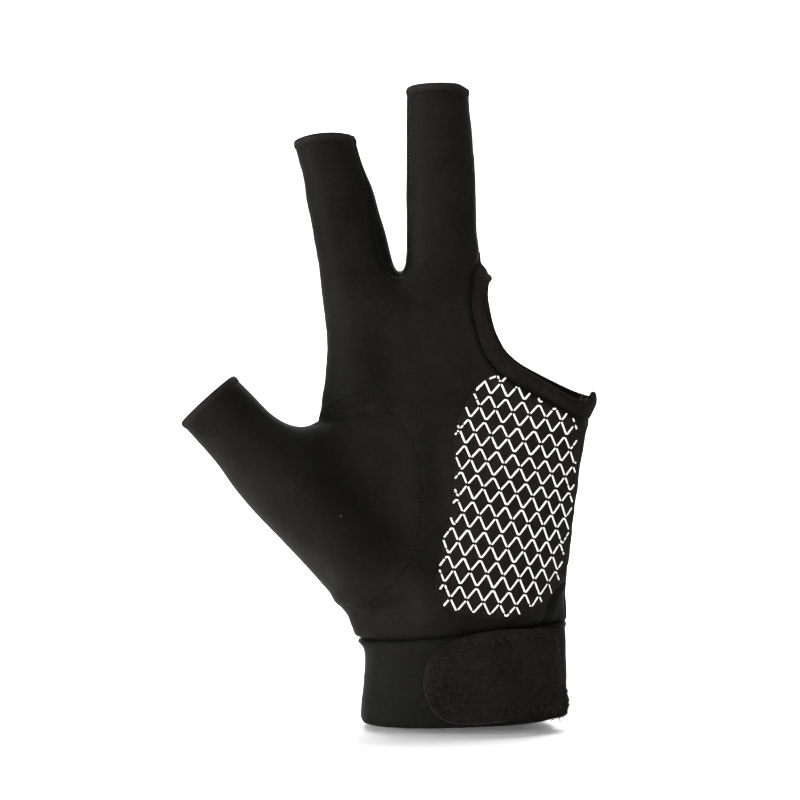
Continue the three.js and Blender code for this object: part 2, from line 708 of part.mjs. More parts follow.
// The raised lines as one solid, from steps of p to the lower right and q to the lower left. An even step is as wide
// as a line and an odd one crosses a diamond, so a cell is part of a line unless both its steps are odd.
function printNet(low, high) {
  const edgeOf = (step) => (step % 2 === 0 ? step / 2 - lineShare : (step - 1) / 2 + lineShare);
  const placeOf = (p, q) => printCorner.clone().addScaledVector(downRight, p).addScaledVector(downLeft, q);
  const onPatch = (p, q) => {
    const place = placeOf(p / 2, q / 2);
    if (!insideLine(printEdge, place.x, place.y) || !insideLine(openingEdge, place.x, place.y)) return false;
    const { x, y, z } = onPalm(place.x, place.y, 0);
    return clothNormal(x, y, z).normalize().y < -printFacing;
  };
  const cells = new Set();
  const waiting = [startCrossing()];
  while (waiting.length > 0) {
    const [p, q] = waiting.pop();
    cells.add(`${p},${q}`);
    for (const [dp, dq] of [[1, 0], [-1, 0], [0, 1], [0, -1]]) {
      const next = [p + 2 * dp, q + 2 * dq];
      if (onPatch(...next)) {
        cells.add(`${p + dp},${q + dq}`);
        if (!cells.has(`${next}`)) waiting.push(next);
      }
    }
  }
  const positions = [];
  const triangles = [];
  const known = new Map();
  const corner = (p, q, height) => {
    const key = `${p},${q},${height}`;
    if (!known.has(key)) {
      const place = placeOf(edgeOf(p), edgeOf(q));
      known.set(key, positions.length / 3);
      positions.push(...onPalm(place.x, place.y, height).toArray());
    }
    return known.get(key);
  };
  for (const cell of cells) {
    const [p, q] = cell.split(',').map(Number);
    const ring = [[p, q], [p, q + 1], [p + 1, q + 1], [p + 1, q]];
    const beside = [[p - 1, q], [p, q + 1], [p + 1, q], [p, q - 1]];
    const top = ring.map(([a, b]) => corner(a, b, high));
    const bottom = ring.map(([a, b]) => corner(a, b, low));
    triangles.push([top[0], top[1], top[2]], [top[0], top[2], top[3]]);
    triangles.push([bottom[2], bottom[1], bottom[0]], [bottom[3], bottom[2], bottom[0]]);
    beside.forEach((other, n) => {
      const m = (n + 1) % 4;
      if (!cells.has(`${other}`)) triangles.push([top[m], top[n], bottom[n]], [top[m], bottom[n], bottom[m]]);
    });
  }
  return solidFrom(positions, triangles);
}

// The crossing of the print's grid that lies nearest to the middle of the patch
function startCrossing() {
  const way = printStart.clone().sub(printCorner);
  const area = downRight.cross(downLeft);
  return [2 * Math.round(way.cross(downLeft) / area), 2 * Math.round(downRight.cross(way) / area)];
}

const printLow = gap + patchThickness + gap;
piece('grip_lattice', printNet(printLow, printLow + printHeight), printColour, 0.5);

export default new THREE.Group().add(...pieces);
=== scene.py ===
"""Looks of a worn billiard glove for the left hand. Lengths are millimetres until a mesh is made."""

import math

import bpy
import numpy as np
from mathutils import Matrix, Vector


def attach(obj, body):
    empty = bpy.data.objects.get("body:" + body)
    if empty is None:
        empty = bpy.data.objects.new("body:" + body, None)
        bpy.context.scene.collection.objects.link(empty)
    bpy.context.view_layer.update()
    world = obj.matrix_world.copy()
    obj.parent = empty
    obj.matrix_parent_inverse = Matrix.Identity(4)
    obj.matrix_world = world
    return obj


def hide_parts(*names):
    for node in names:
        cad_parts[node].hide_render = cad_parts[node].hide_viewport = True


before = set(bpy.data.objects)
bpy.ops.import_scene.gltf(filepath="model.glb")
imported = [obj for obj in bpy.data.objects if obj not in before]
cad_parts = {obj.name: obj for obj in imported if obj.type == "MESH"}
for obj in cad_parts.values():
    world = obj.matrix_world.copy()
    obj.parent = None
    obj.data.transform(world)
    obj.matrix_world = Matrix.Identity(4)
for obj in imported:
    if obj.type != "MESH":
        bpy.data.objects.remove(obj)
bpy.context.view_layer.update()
rng = np.random.default_rng(11)

# Hand sizes over the outside of the cloth, as in the part's source
PALM_LENGTH = 124.8
PALM_BREADTH = 77.0
PALM_DEPTH = 27.0
WRIST_BREADTH = 53.2
WRIST_DEPTH = 36.0
INDEX_LENGTH, INDEX_WIDTH = 37.4, 20.6
MIDDLE_LENGTH, MIDDLE_WIDTH = 51.0, 19.6
RING_LENGTH, RING_WIDTH = 51.0, 19.0
THUMB_LENGTH, THUMB_WIDTH = 64.0, 22.8
WEB_LENGTH, WEB_WIDTH = 20.0, 17.0
FINGER_DEPTH = 16.4
THUMB_DEPTH = 21.0
WEB_DEPTH = 14.0
PALM_SQUARENESS = 2.4
FINGER_SQUARENESS = 2.15
THUMB_SQUARENESS = 2.1
# How softly the parts of the hand run into each other
SOFT_FINGERS = 2.9
SOFT_RING = 2.2
SOFT_KNUCKLES = 7.0
SOFT_THUMB = 9.0
SOFT_END = 9.0

# Cloth, seams, hems, binding, cuff, tab and patch
WALL = 1.1
SEAM_FORWARD = 4.2
GUSSET_BACK = 3.6
HEM_HEIGHT = 2.2
BINDING_HEIGHT = 4.2
OPENING_LEAN = 0.11
CUFF_HEIGHT = 24.4
CUFF_TOP_TILT = 5.2
WRIST_TILT = 1.8
SEAM_GAP = 0.05
GUSSET_LOW = 113.0
# How far outlines reach past the form, and where no seam is near
BEYOND = 60.0
NO_SEAM = 9.0
# Steps of the sections' tables, of the slopes of the form and of the seams, and of the grid round the form
TABLE_STEP = 0.1
FORM_STEP = 0.06
FIELD_STEP = 0.3
CELL = 0.8
COARSE_CELLS = 4
GRID_LOW = np.array([-86.0, -27.0, -14.0])
GRID_HIGH = np.array([48.0, 24.0, 182.0])
RIM_STEPS = 5

# The photograph's frame: its side in pixels, a pixel's size in the plane of the hand, and the point of view
FRAME_PIXELS = 800
MIDDLE_PIXEL = FRAME_PIXELS / 2
PIXEL = 0.28
VIEW_DISTANCE = 550.0
VIEW_FROM = np.array([-17.92, -VIEW_DISTANCE, 88.4])
FAR_RIGHT, FAR_UP = 1100, -300
# A place of the frame is found on the cloth by halving the reach in front of the hand's plane
NEAREST_CLOTH = 35.0
HALVINGS = 22

# Sections of the palm as shares of its sizes: along, shift, spread, front, back
PALM_ROWS = [
    (-0.09, -0.013, 0, 1, 1),
    (0.08, -0.013, 0, 1, 1),
    (0.15, -0.011, 0.01, 1, 0.98),
    (0.22, -0.022, 0.22, 1.01, 0.95),
    (0.35, -0.025, 0.37, 1.03, 0.95),
    (0.48, -0.026, 0.55, 1.03, 0.98),
    (0.62, -0.025, 0.74, 1.02, 1.02),
    (0.73, -0.012, 0.96, 1, 1.05),
    (0.84, 0.006, 0.98, 0.94, 1.03),
    (0.97, 0.006, 0.98, 0.86, 0.96),
]
# Sections of fingers, web and thumb as shares of their sizes: along, shift, wide, front, back, forward
INDEX_ROWS = [
    (-0.9, 0.03, 0.8, 1, 1.1, 0),
    (-0.3, 0.02, 0.93, 1.05, 1.1, 0),
    (0, 0.01, 1, 1.04, 1.06, 0.02),
    (0.31, 0.015, 0.955, 1, 1, 0.03),
    (0.55, 0.017, 0.925, 0.97, 0.97, 0.04),
    (0.77, 0.005, 0.85, 0.94, 0.94, 0.06),
    (1, -0.008, 0.83, 0.92, 0.92, 0.07),
    (1.3, -0.01, 0.82, 0.92, 0.92, 0.08),
]
MIDDLE_ROWS = [
    (-0.7, 0, 0.96, 1, 1.1, 0),
    (-0.2, 0.005, 1.06, 1.06, 1.12, 0),
    (0, 0.01, 1.08, 1.06, 1.08, 0.02),
    (0.15, 0.012, 1.03, 1.03, 1.04, 0.03),
    (0.46, 0.012, 1, 1, 1, 0.04),
    (0.7, 0.003, 0.94, 0.97, 0.97, 0.06),
    (1, 0.003, 0.85, 0.94, 0.94, 0.08),
    (1.25, -0.005, 0.85, 0.94, 0.94, 0.09),
]
RING_ROWS = [
    (-0.7, 0, 0.94, 1, 1.1, 0),
    (0, 0, 1, 1, 1.05, 0.02),
    (0.4, 0, 0.96, 0.94, 0.94, 0.1),
]
WEB_ROWS = [
    (-0.5, 0, 1, 1, 1, 0.1),
    (0, 0, 1, 1, 1, 0.15),
    (1, 0, 0.9, 0.9, 0.9, 0.2),
]
THUMB_ROWS = [
    (-0.16, 0, 0.84, 0.9, 0.85, 0.4),
    (0.08, 0, 0.97, 1.1, 1, 0.38),
    (0.38, 0, 1.02, 1.14, 1.02, 0.36),
    (0.62, -0.01, 0.98, 1, 1, 0.36),
    (0.8, 0, 0.89, 0.9, 0.92, 0.38),
    (1, -0.01, 0.86, 0.87, 0.88, 0.42),
    (1.25, -0.01, 0.84, 0.86, 0.86, 0.46),
]
# Seams and edges, across as a share of the palm's breadth and up as a share of its length
OPENING_ROWS = [
    (0.052, 1.008), (0.087, 0.98), (0.077, 0.949), (0.079, 0.918), (0.09, 0.884), (0.126, 0.826),
    (0.197, 0.774), (0.324, 0.731), (0.417, 0.706), (0.468, 0.699), (0.5, 0.7),
]
THUMB_SEAM_ROWS = [
    (-0.537, 0.664), (-0.487, 0.69), (-0.429, 0.712), (-0.386, 0.72), (-0.339, 0.714),
    (-0.293, 0.698), (-0.243, 0.671), (-0.173, 0.595), (-0.148, 0.501), (-0.173, 0.391),
    (-0.247, 0.311), (-0.343, 0.267), (-0.439, 0.252),
]
THUMB_BACK_ROWS = [
    (-0.537, 0.664), (-0.478, 0.63), (-0.41, 0.54), (-0.38, 0.43), (-0.395, 0.33), (-0.439, 0.252),
]
PATCH_ROWS = [
    (0.1, 0.768), (0.15, 0.747), (0.22, 0.72), (0.31, 0.692), (0.44, 0.648), (0.6, 0.6), (0.6, 0.39),
    (0.375, 0.327), (0.31, 0.277), (0.23, 0.24), (0.083, 0.232), (-0.034, 0.243), (-0.1, 0.28),
    (-0.109, 0.32), (-0.07, 0.42), (-0.045, 0.5), (-0.045, 0.62), (-0.013, 0.686), (0.04, 0.74),
]
# Outlines and lines as they show in the frame, in pixels
TAB_SEEN = [
    (600, 630), (563.9, 629), (555.5, 628.6), (531.2, 628.8), (507, 629.7), (493.6, 630.9),
    (477.9, 633.3), (467, 636.2), (457.3, 639.6), (446.4, 644.8), (437.9, 650.3), (430.6, 657.4),
    (425.8, 665.5), (423.9, 675.2), (423.6, 683.6), (425.2, 694.5), (428.2, 703), (431.8, 710.3),
    (436.9, 716.2), (445.2, 721.2), (452.4, 723.6), (464.5, 724.8), (477.9, 724.8), (494.8, 723.4),
    (507, 721.8), (519, 720), (531.2, 718.8), (543.3, 718.2), (557, 718.4), (564.5, 716.2),
    (569, 711), (572, 704), (600, 698),
]
TAB_STITCH = [
    (559, 639), (548, 638), (528, 638.2), (506, 639.6), (481, 643), (464, 647.8), (450, 655), (440, 665),
    (435.8, 677), (435.6, 687), (437.6, 697), (442, 705), (449, 710), (461, 712.8), (478, 713.6), (494, 713.4),
    (511, 712), (531, 708.8), (547, 706.8), (559, 706.4), (559.4, 690), (559.2, 665),
]
TAB_EDGE = [
    (423.9, 678), (424.6, 690), (428.8, 703), (437.4, 715.6), (452, 722.8), (477, 724), (508, 720.8),
]
TAB_CORNER = [
    (562, 713), (562.6, 706), (562.4, 699), (562.4, 691), (558, 716), (551, 716.8), (542, 716.8), (530, 717.6),
]
OPENING_SEEN = [
    (479.2, 262.6), (483.4, 265.2), (487.6, 268.2), (491.0, 271.0), (491.4, 273.4), (489.8, 277.0),
    (488.4, 281), (487.4, 290), (487.6, 298.2), (490, 312.7), (494.2, 329.7),
    (500.3, 343), (508.8, 357), (520.9, 367.3), (537.9, 377.6), (554.8, 387.3), (567, 394.5), (575.5, 398.8),
    (586.4, 400.6), (591.2, 398.8), (594.8, 393.3), (601, 384),
]
BAND_SEEN = [
    (479.2, 263), (476.4, 267), (473.6, 275.4), (472.5, 288.5), (473, 307.9), (477.3, 327.3),
    (483.3, 346.7), (491.8, 361.2), (501.5, 372.2), (511.2, 379.4), (537.9, 394.2), (557.3, 405.6),
    (571.8, 413.6), (586.4, 419.2), (594, 421), (604, 422),
]
# Broad folds: from across, from up, to across, to up, wide and deep as shares of the palm's depth
FOLD_ROWS = [
    (-0.5, 0.67, -0.36, 0.69, 0.14, 0.05),
    (-0.37, 0.24, -0.2, 0.27, 0.15, 0.04),
    (0.33, 0.33, 0.28, 0.2, 0.13, 0.04),
    (-0.1, 0.62, -0.09, 0.36, 0.24, 0.05),
]


def palm_point(across, up):
    return np.array([across * PALM_BREADTH, up * PALM_LENGTH])


def dense_columns(at, columns):
    """The columns of the sections, smoothly joined and sampled every tenth of a millimetre."""
    last = len(at) - 1
    along = np.append(np.arange(at[0], at[-1], TABLE_STEP), at[-1])
    row = np.searchsorted(at[1:last], along)
    before = np.maximum(row - 1, 0)
    after = np.minimum(row + 2, last)
    span = at[row + 1] - at[row]
    t = np.clip((along - at[row]) / span, 0, 1)[:, None]
    start = (span / (at[row + 1] - at[before]))[:, None] * (columns[row + 1] - columns[before])
    end = (span / (at[after] - at[row]))[:, None] * (columns[after] - columns[row])
    rise = columns[row + 1] - columns[row]
    eased = columns[row] + start * t * (1 - t) ** 2 - end * t * t * (1 - t)
    return (eased + rise * t * t * (3 - 2 * t)).T.copy()


def limb(root, tilt, length, width, depth, squareness, rows):
    rows = np.array(rows, float)
    scales = np.array([width, width / 2, depth / 2, depth / 2, depth])
    at = rows[:, 0] * length
    table = dense_columns(at, rows[:, 1:] * scales)
    return {"root": root, "lean": math.radians(tilt), "power": squareness, "at": at, "table": table}


def finger(root, tilt, length, width, rows):
    return limb(root, tilt, length, width, FINGER_DEPTH, FINGER_SQUARENESS, rows)


def palm_limb():
    rows = np.array(PALM_ROWS, float)
    breadth = WRIST_BREADTH + (PALM_BREADTH - WRIST_BREADTH) * rows[:, 2]
    depth = WRIST_DEPTH + (PALM_DEPTH - WRIST_DEPTH) * rows[:, 2]
    front, back = rows[:, 3] * depth / 2, rows[:, 4] * depth / 2
    columns = np.stack([rows[:, 1] * PALM_BREADTH, breadth / 2, front, back, 0 * depth], axis=1)
    at = rows[:, 0] * PALM_LENGTH
    table = dense_columns(at, columns)
    return {"root": np.zeros(2), "lean": 0.0, "power": PALM_SQUARENESS, "at": at, "table": table}


PALM = palm_limb()
INDEX = finger(palm_point(-0.39, 0.998), 13.4, INDEX_LENGTH, INDEX_WIDTH, INDEX_ROWS)
MIDDLE = finger(palm_point(-0.08, 0.998), 1.3, MIDDLE_LENGTH, MIDDLE_WIDTH, MIDDLE_ROWS)
RING = finger(palm_point(0.233, 0.965), -9.0, RING_LENGTH, RING_WIDTH, RING_ROWS)
WEB = limb(palm_point(-0.455, 0.5), 22.0, WEB_LENGTH, WEB_WIDTH, WEB_DEPTH, THUMB_SQUARENESS, WEB_ROWS)
THUMB_ROOT = palm_point(-0.355, 0.333)
THUMB = limb(THUMB_ROOT, 42.8, THUMB_LENGTH, THUMB_WIDTH, THUMB_DEPTH, THUMB_SQUARENESS, THUMB_ROWS)


def stall(form, length, width, hem_tilt):
    lean = form["lean"]
    end = form["root"] + length * np.array([-math.sin(lean), math.cos(lean)])
    return {"root": form["root"], "end": end, "width": width, "tilt": math.radians(hem_tilt)}


STALLS = {
    "index": stall(INDEX, INDEX_LENGTH, INDEX_WIDTH, 5.1),
    "middle": stall(MIDDLE, MIDDLE_LENGTH, MIDDLE_WIDTH, 1.0),
    "thumb": stall(THUMB, THUMB_LENGTH, THUMB_WIDTH, 42.5),
}


# The hand form as a distance, negative inside

def soft_min(a, b, softness):
    near = np.maximum(softness - np.abs(a - b), 0)
    return np.minimum(a, b) - near * near / (4 * softness)


def section_at(form, along):
    table = form["table"]
    spot = np.clip((along - form["at"][0]) / TABLE_STEP, 0, table.shape[1] - 1.001)
    row = spot.astype(np.int64)
    share = spot - row
    return [column[row] * (1 - share) + column[row + 1] * share for column in table]


def limb_distance(form, p):
    lean, power = form["lean"], form["power"]
    dx = p[:, 0] - form["root"][0]
    dz = p[:, 2] - form["root"][1]
    along = dz * math.cos(lean) - dx * math.sin(lean)
    side = dx * math.cos(lean) + dz * math.sin(lean)
    shift, half, front, back, forward = section_at(form, along)
    level = p[:, 1] + forward
    depth = np.where(level < 0, front, back)
    u = np.abs(side - shift) / half
    v = np.abs(level) / depth
    size = np.maximum((u**power + v**power) ** (1 / power), 1e-3)
    slope = np.hypot((u / size) ** (power - 1) / half, (v / size) ** (power - 1) / depth)
    around = (size - 1) / slope
    past_end = np.maximum(along - form["at"][-1], form["at"][0] - along)
    return -soft_min(-around, -past_end, SOFT_END)


def fold_depth(p):
    total = np.zeros(len(p))
    flat = p[:, [0, 2]]
    for across, up, to_across, to_up, wide, deep in FOLD_ROWS:
        start = palm_point(across, up)
        run = palm_point(to_across, to_up) - start
        share = np.clip((flat - start) @ run / (run @ run), 0, 1)
        away = np.linalg.norm(flat - start - share[:, None] * run, axis=1) / (wide * PALM_DEPTH)
        total += deep * PALM_DEPTH * np.exp(-2 * away * away)
    return total * np.clip(-p[:, 1] / SEAM_FORWARD, 0, 1)


def cloth_distance(p):
    fingers = soft_min(limb_distance(INDEX, p), limb_distance(MIDDLE, p), SOFT_FINGERS)
    fingers = soft_min(fingers, limb_distance(RING, p), SOFT_RING)
    hand = soft_min(limb_distance(PALM, p), fingers, SOFT_KNUCKLES)
    hand = soft_min(hand, limb_distance(WEB, p), SOFT_KNUCKLES)
    return soft_min(hand, limb_distance(THUMB, p), SOFT_THUMB) + fold_depth(p)


def slope_of(function, p, step=FORM_STEP):
    columns = []
    for axis in range(3):
        move = np.zeros(3)
        move[axis] = step
        columns.append((function(p + move) - function(p - move)) / (2 * step))
    return np.stack(columns, axis=1)


def unit(v):
    return v / np.maximum(np.linalg.norm(v, axis=1, keepdims=True), 1e-9)


def normals_at(p):
    return unit(slope_of(cloth_distance, p))


def settle(p, passes=2):
    for _ in range(passes):
        slope = slope_of(cloth_distance, p)
        lengths = np.maximum((slope * slope).sum(axis=1), 0.2)
        p = p - slope * (cloth_distance(p) / lengths)[:, None]
    return p


# The surface where the distance is zero, as even triangles

def surface_nets(values, low, cell):
    inside = values < 0
    sizes = np.array(values.shape) - 1
    total = np.zeros(sizes)
    count = np.zeros(sizes, int)
    place = np.zeros((*sizes, 3))

    def window(offset):
        return tuple(slice(o, o + s) for o, s in zip(offset, sizes))

    for offset in np.ndindex(2, 2, 2):
        count += inside[window(offset)]
    for axis in range(3):
        for offset in np.ndindex(2, 2, 2):
            if offset[axis]:
                continue
            other = list(offset)
            other[axis] = 1
            a, b = values[window(offset)], values[window(other)]
            crosses = (a < 0) != (b < 0)
            share = np.where(crosses, a / np.where(crosses, a - b, 1), 0)
            total += crosses
            for k in range(3):
                place[..., k] += crosses * (offset[k] + (share if k == axis else 0))
    mixed = (count > 0) & (count < 8)
    number = np.full(sizes, -1)
    number[mixed] = np.arange(mixed.sum())
    cells = np.argwhere(mixed)
    points = low + cell * (cells + place[mixed] / total[mixed][:, None])
    quads = []
    for axis in range(3):
        b, c = (axis + 1) % 3, (axis + 2) % 3
        step = np.zeros(3, int)
        step[axis] = 1
        here = tuple(slice(0, n - s) for n, s in zip(values.shape, step))
        there = tuple(slice(s, n) for n, s in zip(values.shape, step))
        change = inside[here] != inside[there]
        spots = np.argwhere(change)
        ok = (spots[:, b] > 0) & (spots[:, c] > 0) & (spots[:, b] < sizes[b]) & (spots[:, c] < sizes[c])
        spots = spots[ok]
        back_b, back_c = np.zeros(3, int), np.zeros(3, int)
        back_b[b], back_c[c] = 1, 1
        ring = [spots, spots - back_b, spots - back_b - back_c, spots - back_c]
        quad = np.stack([number[tuple(r.T)] for r in ring], axis=1)
        inner_first = inside[tuple(spots.T)]
        quad[~inner_first] = quad[~inner_first][:, ::-1]
        quads.append(quad)
    quads = np.concatenate(quads)
    return points, np.concatenate([quads[:, [0, 1, 2]], quads[:, [0, 2, 3]]])


def neighbours_mean(points, triangles):
    pairs = np.concatenate([triangles[:, [0, 1]], triangles[:, [1, 2]], triangles[:, [2, 0]]])
    pairs = np.concatenate([pairs, pairs[:, ::-1]])
    total = np.zeros_like(points)
    count = np.bincount(pairs[:, 0], minlength=len(points))
    for k in range(3):
        total[:, k] = np.bincount(pairs[:, 0], weights=points[pairs[:, 1], k], minlength=len(points))
    return total / np.maximum(count, 1)[:, None]


def hand_surface():
    coarse = COARSE_CELLS * CELL
    counts = np.ceil((GRID_HIGH - GRID_LOW) / coarse).astype(int) + 1
    axes = [GRID_LOW[k] + coarse * np.arange(counts[k]) for k in range(3)]
    grid = np.stack(np.meshgrid(*axes, indexing="ij"), axis=-1)
    rough = cloth_distance(grid.reshape(-1, 3)).reshape(counts)
    fine_counts = (counts - 1) * COARSE_CELLS + 1
    spread = [np.repeat(np.arange(n), COARSE_CELLS)[:m] for n, m in zip(counts, fine_counts)]
    values = rough[np.ix_(*spread)]
    wanted = np.abs(values) < 2.2 * coarse
    values[wanted] = cloth_distance(GRID_LOW + CELL * np.argwhere(wanted))
    points, triangles = surface_nets(values, GRID_LOW, CELL)
    points = settle(points, 1)
    for _ in range(3):
        points = settle(points + 0.5 * (neighbours_mean(points, triangles) - points), 1)
    return settle(points), triangles


# Lines and outlines in the palm's plane

def smooth_line(points, step=2.4, closed=False):
    points = np.array(points, float)
    if closed:
        points = np.vstack([points, points[:1]])
    last = len(points) - 1
    out = []
    for n in range(last):
        before = points[n - 1] if n else (points[last - 1] if closed else points[0])
        after = points[n + 2] if n + 2 <= last else (points[1] if closed else points[last])
        p, q = points[n], points[n + 1]
        slope_p, slope_q = (q - before) / 2, (after - p) / 2
        steps = max(2, int(np.linalg.norm(q - p) / step))
        t = (np.arange(steps) / steps)[:, None]
        cubic = 2 * p - 2 * q + slope_p + slope_q
        square = -3 * p + 3 * q - 2 * slope_p - slope_q
        out.append(cubic * t**3 + square * t**2 + slope_p * t + p)
    line = np.vstack(out)
    return line if closed else np.vstack([line, points[-1:]])


def moved_line(line, distances):
    run = np.gradient(line, axis=0)
    run /= np.linalg.norm(run, axis=1, keepdims=True)
    return line + np.stack([-run[:, 1], run[:, 0]], axis=1) * np.broadcast_to(distances, len(line))[:, None]


def segment_distance(flat, line, closed):
    ends = np.roll(line, -1, axis=0) if closed else line[1:]
    starts = line if closed else line[:-1]
    best = np.full(len(flat), 1e9)
    for a, b in zip(starts, ends):
        run = b - a
        share = np.clip((flat - a) @ run / max(run @ run, 1e-12), 0, 1)
        away = flat - a - share[:, None] * run
        best = np.minimum(best, (away * away).sum(axis=1))
    return np.sqrt(best)


def signed_distance(flat, outline):
    """Distance to a closed outline, negative inside."""
    inside = np.zeros(len(flat), bool)
    for a, b in zip(outline, np.roll(outline, -1, axis=0)):
        spans = (a[1] > flat[:, 1]) != (b[1] > flat[:, 1])
        rise = b[1] - a[1] if b[1] != a[1] else 1e-12
        inside ^= spans & (flat[:, 0] < a[0] + (b[0] - a[0]) * (flat[:, 1] - a[1]) / rise)
    away = segment_distance(flat, outline, True)
    return np.where(inside, -away, away)


def smooth_step(low, high, value):
    t = np.clip((value - low) / (high - low), 0, 1)
    return t * t * (3 - 2 * t)


def thumb_outline(rows):
    line = smooth_line([palm_point(*row) for row in rows])
    first, last = line[0], line[-1]
    far = [[last[0] - BEYOND, last[1] - BEYOND / 6], [first[0] - BEYOND, first[1] + BEYOND]]
    return np.vstack([line, far])


THUMB_FRONT = thumb_outline(THUMB_SEAM_ROWS)
THUMB_REAR = thumb_outline(THUMB_BACK_ROWS)
OPENING_LINE = smooth_line([palm_point(*row) for row in OPENING_ROWS])
PATCH_OUTLINE = smooth_line([palm_point(*row) for row in PATCH_ROWS], closed=True)
TAB_OUTLINE = np.array(TAB_SEEN, float)
STITCH_LINE = smooth_line(TAB_STITCH, 6.0, closed=True)


def opening_outline(band):
    share = np.linspace(0, 1, len(OPENING_LINE))
    moved = moved_line(OPENING_LINE, -band * BINDING_HEIGHT * np.minimum(1, 0.3 + 7 * share))
    (x, z), last = OPENING_LINE[0], moved[-1]
    over = [[x + BEYOND, z + BEYOND], [x + 0.3, z + BEYOND], [x + 0.3, z + BINDING_HEIGHT]]
    return np.vstack([over, moved, [last[0] + BEYOND, last[1]]])


OPENING = opening_outline(0)
BAND = opening_outline(1)


def seen_outline(places):
    """A line in the frame closed round everything above it and to its right."""
    line = smooth_line(places, 8.0)
    left = line[0, 0] + 0.4
    over = [[FAR_RIGHT, FAR_UP], [left, FAR_UP], [left, line[0, 1] - 2]]
    return np.vstack([over, line, [FAR_RIGHT, line[-1, 1]]])


OPENING_FRONT = seen_outline(OPENING_SEEN)
BAND_FRONT = seen_outline(BAND_SEEN)


# Signed fields over points of the surface, zero on a seam or an edge

def thumb_side(p):
    flat = p[:, [0, 2]]
    front = signed_distance(flat, THUMB_FRONT)
    rear = signed_distance(flat, THUMB_REAR)
    share = smooth_step(-2.5, 2.5, p[:, 1])
    return -(front * (1 - share) + rear * share)


def leaned(p):
    return np.stack([p[:, 0], p[:, 2] - OPENING_LEAN * (p[:, 1] + PALM_DEPTH / 2)], axis=1)


def edge_field(p, front_line, rear_line):
    share = smooth_step(-4, 4, p[:, 1])
    front = signed_distance(seen_at(p), front_line) * PIXEL
    rear = signed_distance(leaned(p), rear_line)
    return front * (1 - share) + rear * share


def past_opening(p):
    return edge_field(p, OPENING_FRONT, OPENING)


def past_band(p):
    return edge_field(p, BAND_FRONT, BAND)


def height_over(p, place, tilt):
    return -(p[:, 0] - place[0]) * math.sin(tilt) + (p[:, 2] - place[1]) * math.cos(tilt)


# How far the palm side of a stall's end is arched, and how far its right corner falls
STALL_ENDS = {"index": (1.1, 0.0), "middle": (0.2, 1.2), "thumb": (0.0, 0.0)}


def stall_height(p, name):
    """Height over the end of a stall, far below zero beside it."""
    s = STALLS[name]
    height = height_over(p, s["end"], s["tilt"])
    side = (p[:, 0] - s["end"][0]) * math.cos(s["tilt"]) + (p[:, 2] - s["end"][1]) * math.sin(s["tilt"])
    share = side / (0.5 * s["width"])
    arch, fall = STALL_ENDS[name]
    on_palm_side = smooth_step(3, -5, p[:, 1])
    height += on_palm_side * (fall * smooth_step(0.45, 1, share) - arch * np.clip(1 - share * share, 0, 1))
    return np.minimum(height, 8 * (0.75 * s["width"] - np.abs(side)))


def cuff_height(p):
    return height_over(p, (0, CUFF_HEIGHT), math.radians(CUFF_TOP_TILT))


def wrist_height(p):
    return height_over(p, (0, 0), math.radians(WRIST_TILT))


def from_axis(p, name, most):
    """How far points lie to the right of a stall's middle line, which ends at a share of the stall's length."""
    root, end = STALLS[name]["root"], STALLS[name]["end"]
    share = np.clip((p[:, 2] - root[1]) / (end[1] - root[1]), 0, most)
    return p[:, 0] - (root[0] + share * (end[0] - root[0]))


def between_stalls(p):
    """Positive in the zone between the middles of the index and middle stalls."""
    sides = np.minimum(from_axis(p, "index", 1.6), -from_axis(p, "middle", 1))
    return np.minimum(sides, p[:, 2] - GUSSET_LOW)


def seam_forward(p):
    """How far in front of the middle the side seams lie: at the very edge but where the frame shows them."""
    left = smooth_step(0, -5, from_axis(p, "index", 1.6))
    right = smooth_step(-6, -1, p[:, 0]) * smooth_step(119, 126, p[:, 2])
    return SEAM_FORWARD - 3.4 * np.maximum(left, right)


def front_seam(p):
    """Positive in front of the seam that joins the palm panel to the back panel and the gusset."""
    index_side = smooth_step(-14, -24, p[:, 0]) * (between_stalls(p) > 0)
    deeper = 3.0 * smooth_step(160, 128, p[:, 2]) * index_side
    return -(p[:, 1] + seam_forward(p) + deeper)


def back_seam(p):
    """Positive behind the seam of the back panel."""
    zone = between_stalls(p) > 0
    return p[:, 1] - np.where(zone, GUSSET_BACK, -seam_forward(p))


def gusset_side(p):
    return np.where(between_stalls(p) > 0, np.minimum(-front_seam(p), GUSSET_BACK - p[:, 1]), -5.0)


# Cutting a triangle mesh to where fields are positive

def clip(points, triangles, values):
    inside = values >= 0
    state = inside[triangles]
    count = state.sum(axis=1)
    kept = triangles[count == 3]
    made, keys = [], []
    pieces = [kept]
    for wanted in (1, 2):
        cut = triangles[count == wanted]
        if len(cut) == 0:
            continue
        lone = np.argmax(state[count == wanted] == (wanted == 1), axis=1)
        turned = np.stack([cut[np.arange(len(cut)), (lone + k) % 3] for k in range(3)], axis=1)
        made.append((wanted, turned))
        keys.append(turned[:, [0, 1]])
        keys.append(turned[:, [0, 2]])
    if not made:
        return points, kept
    edges = np.sort(np.concatenate(keys), axis=1)
    unique, back = np.unique(edges, axis=0, return_inverse=True)
    back = back.reshape(-1)
    a, b = unique[:, 0], unique[:, 1]
    share = np.clip(values[a] / (values[a] - values[b]), 0.02, 0.98)
    fresh = points[a] + share[:, None] * (points[b] - points[a])
    numbers = len(points) + back
    at = 0
    for wanted, turned in made:
        n = len(turned)
        ab, ac = numbers[at : at + n], numbers[at + n : at + 2 * n]
        at += 2 * n
        if wanted == 1:
            pieces.append(np.stack([turned[:, 0], ab, ac], axis=1))
        else:
            pieces.append(np.stack([ab, turned[:, 1], turned[:, 2]], axis=1))
            pieces.append(np.stack([ab, turned[:, 2], ac], axis=1))
    return np.vstack([points, fresh]), np.concatenate(pieces)


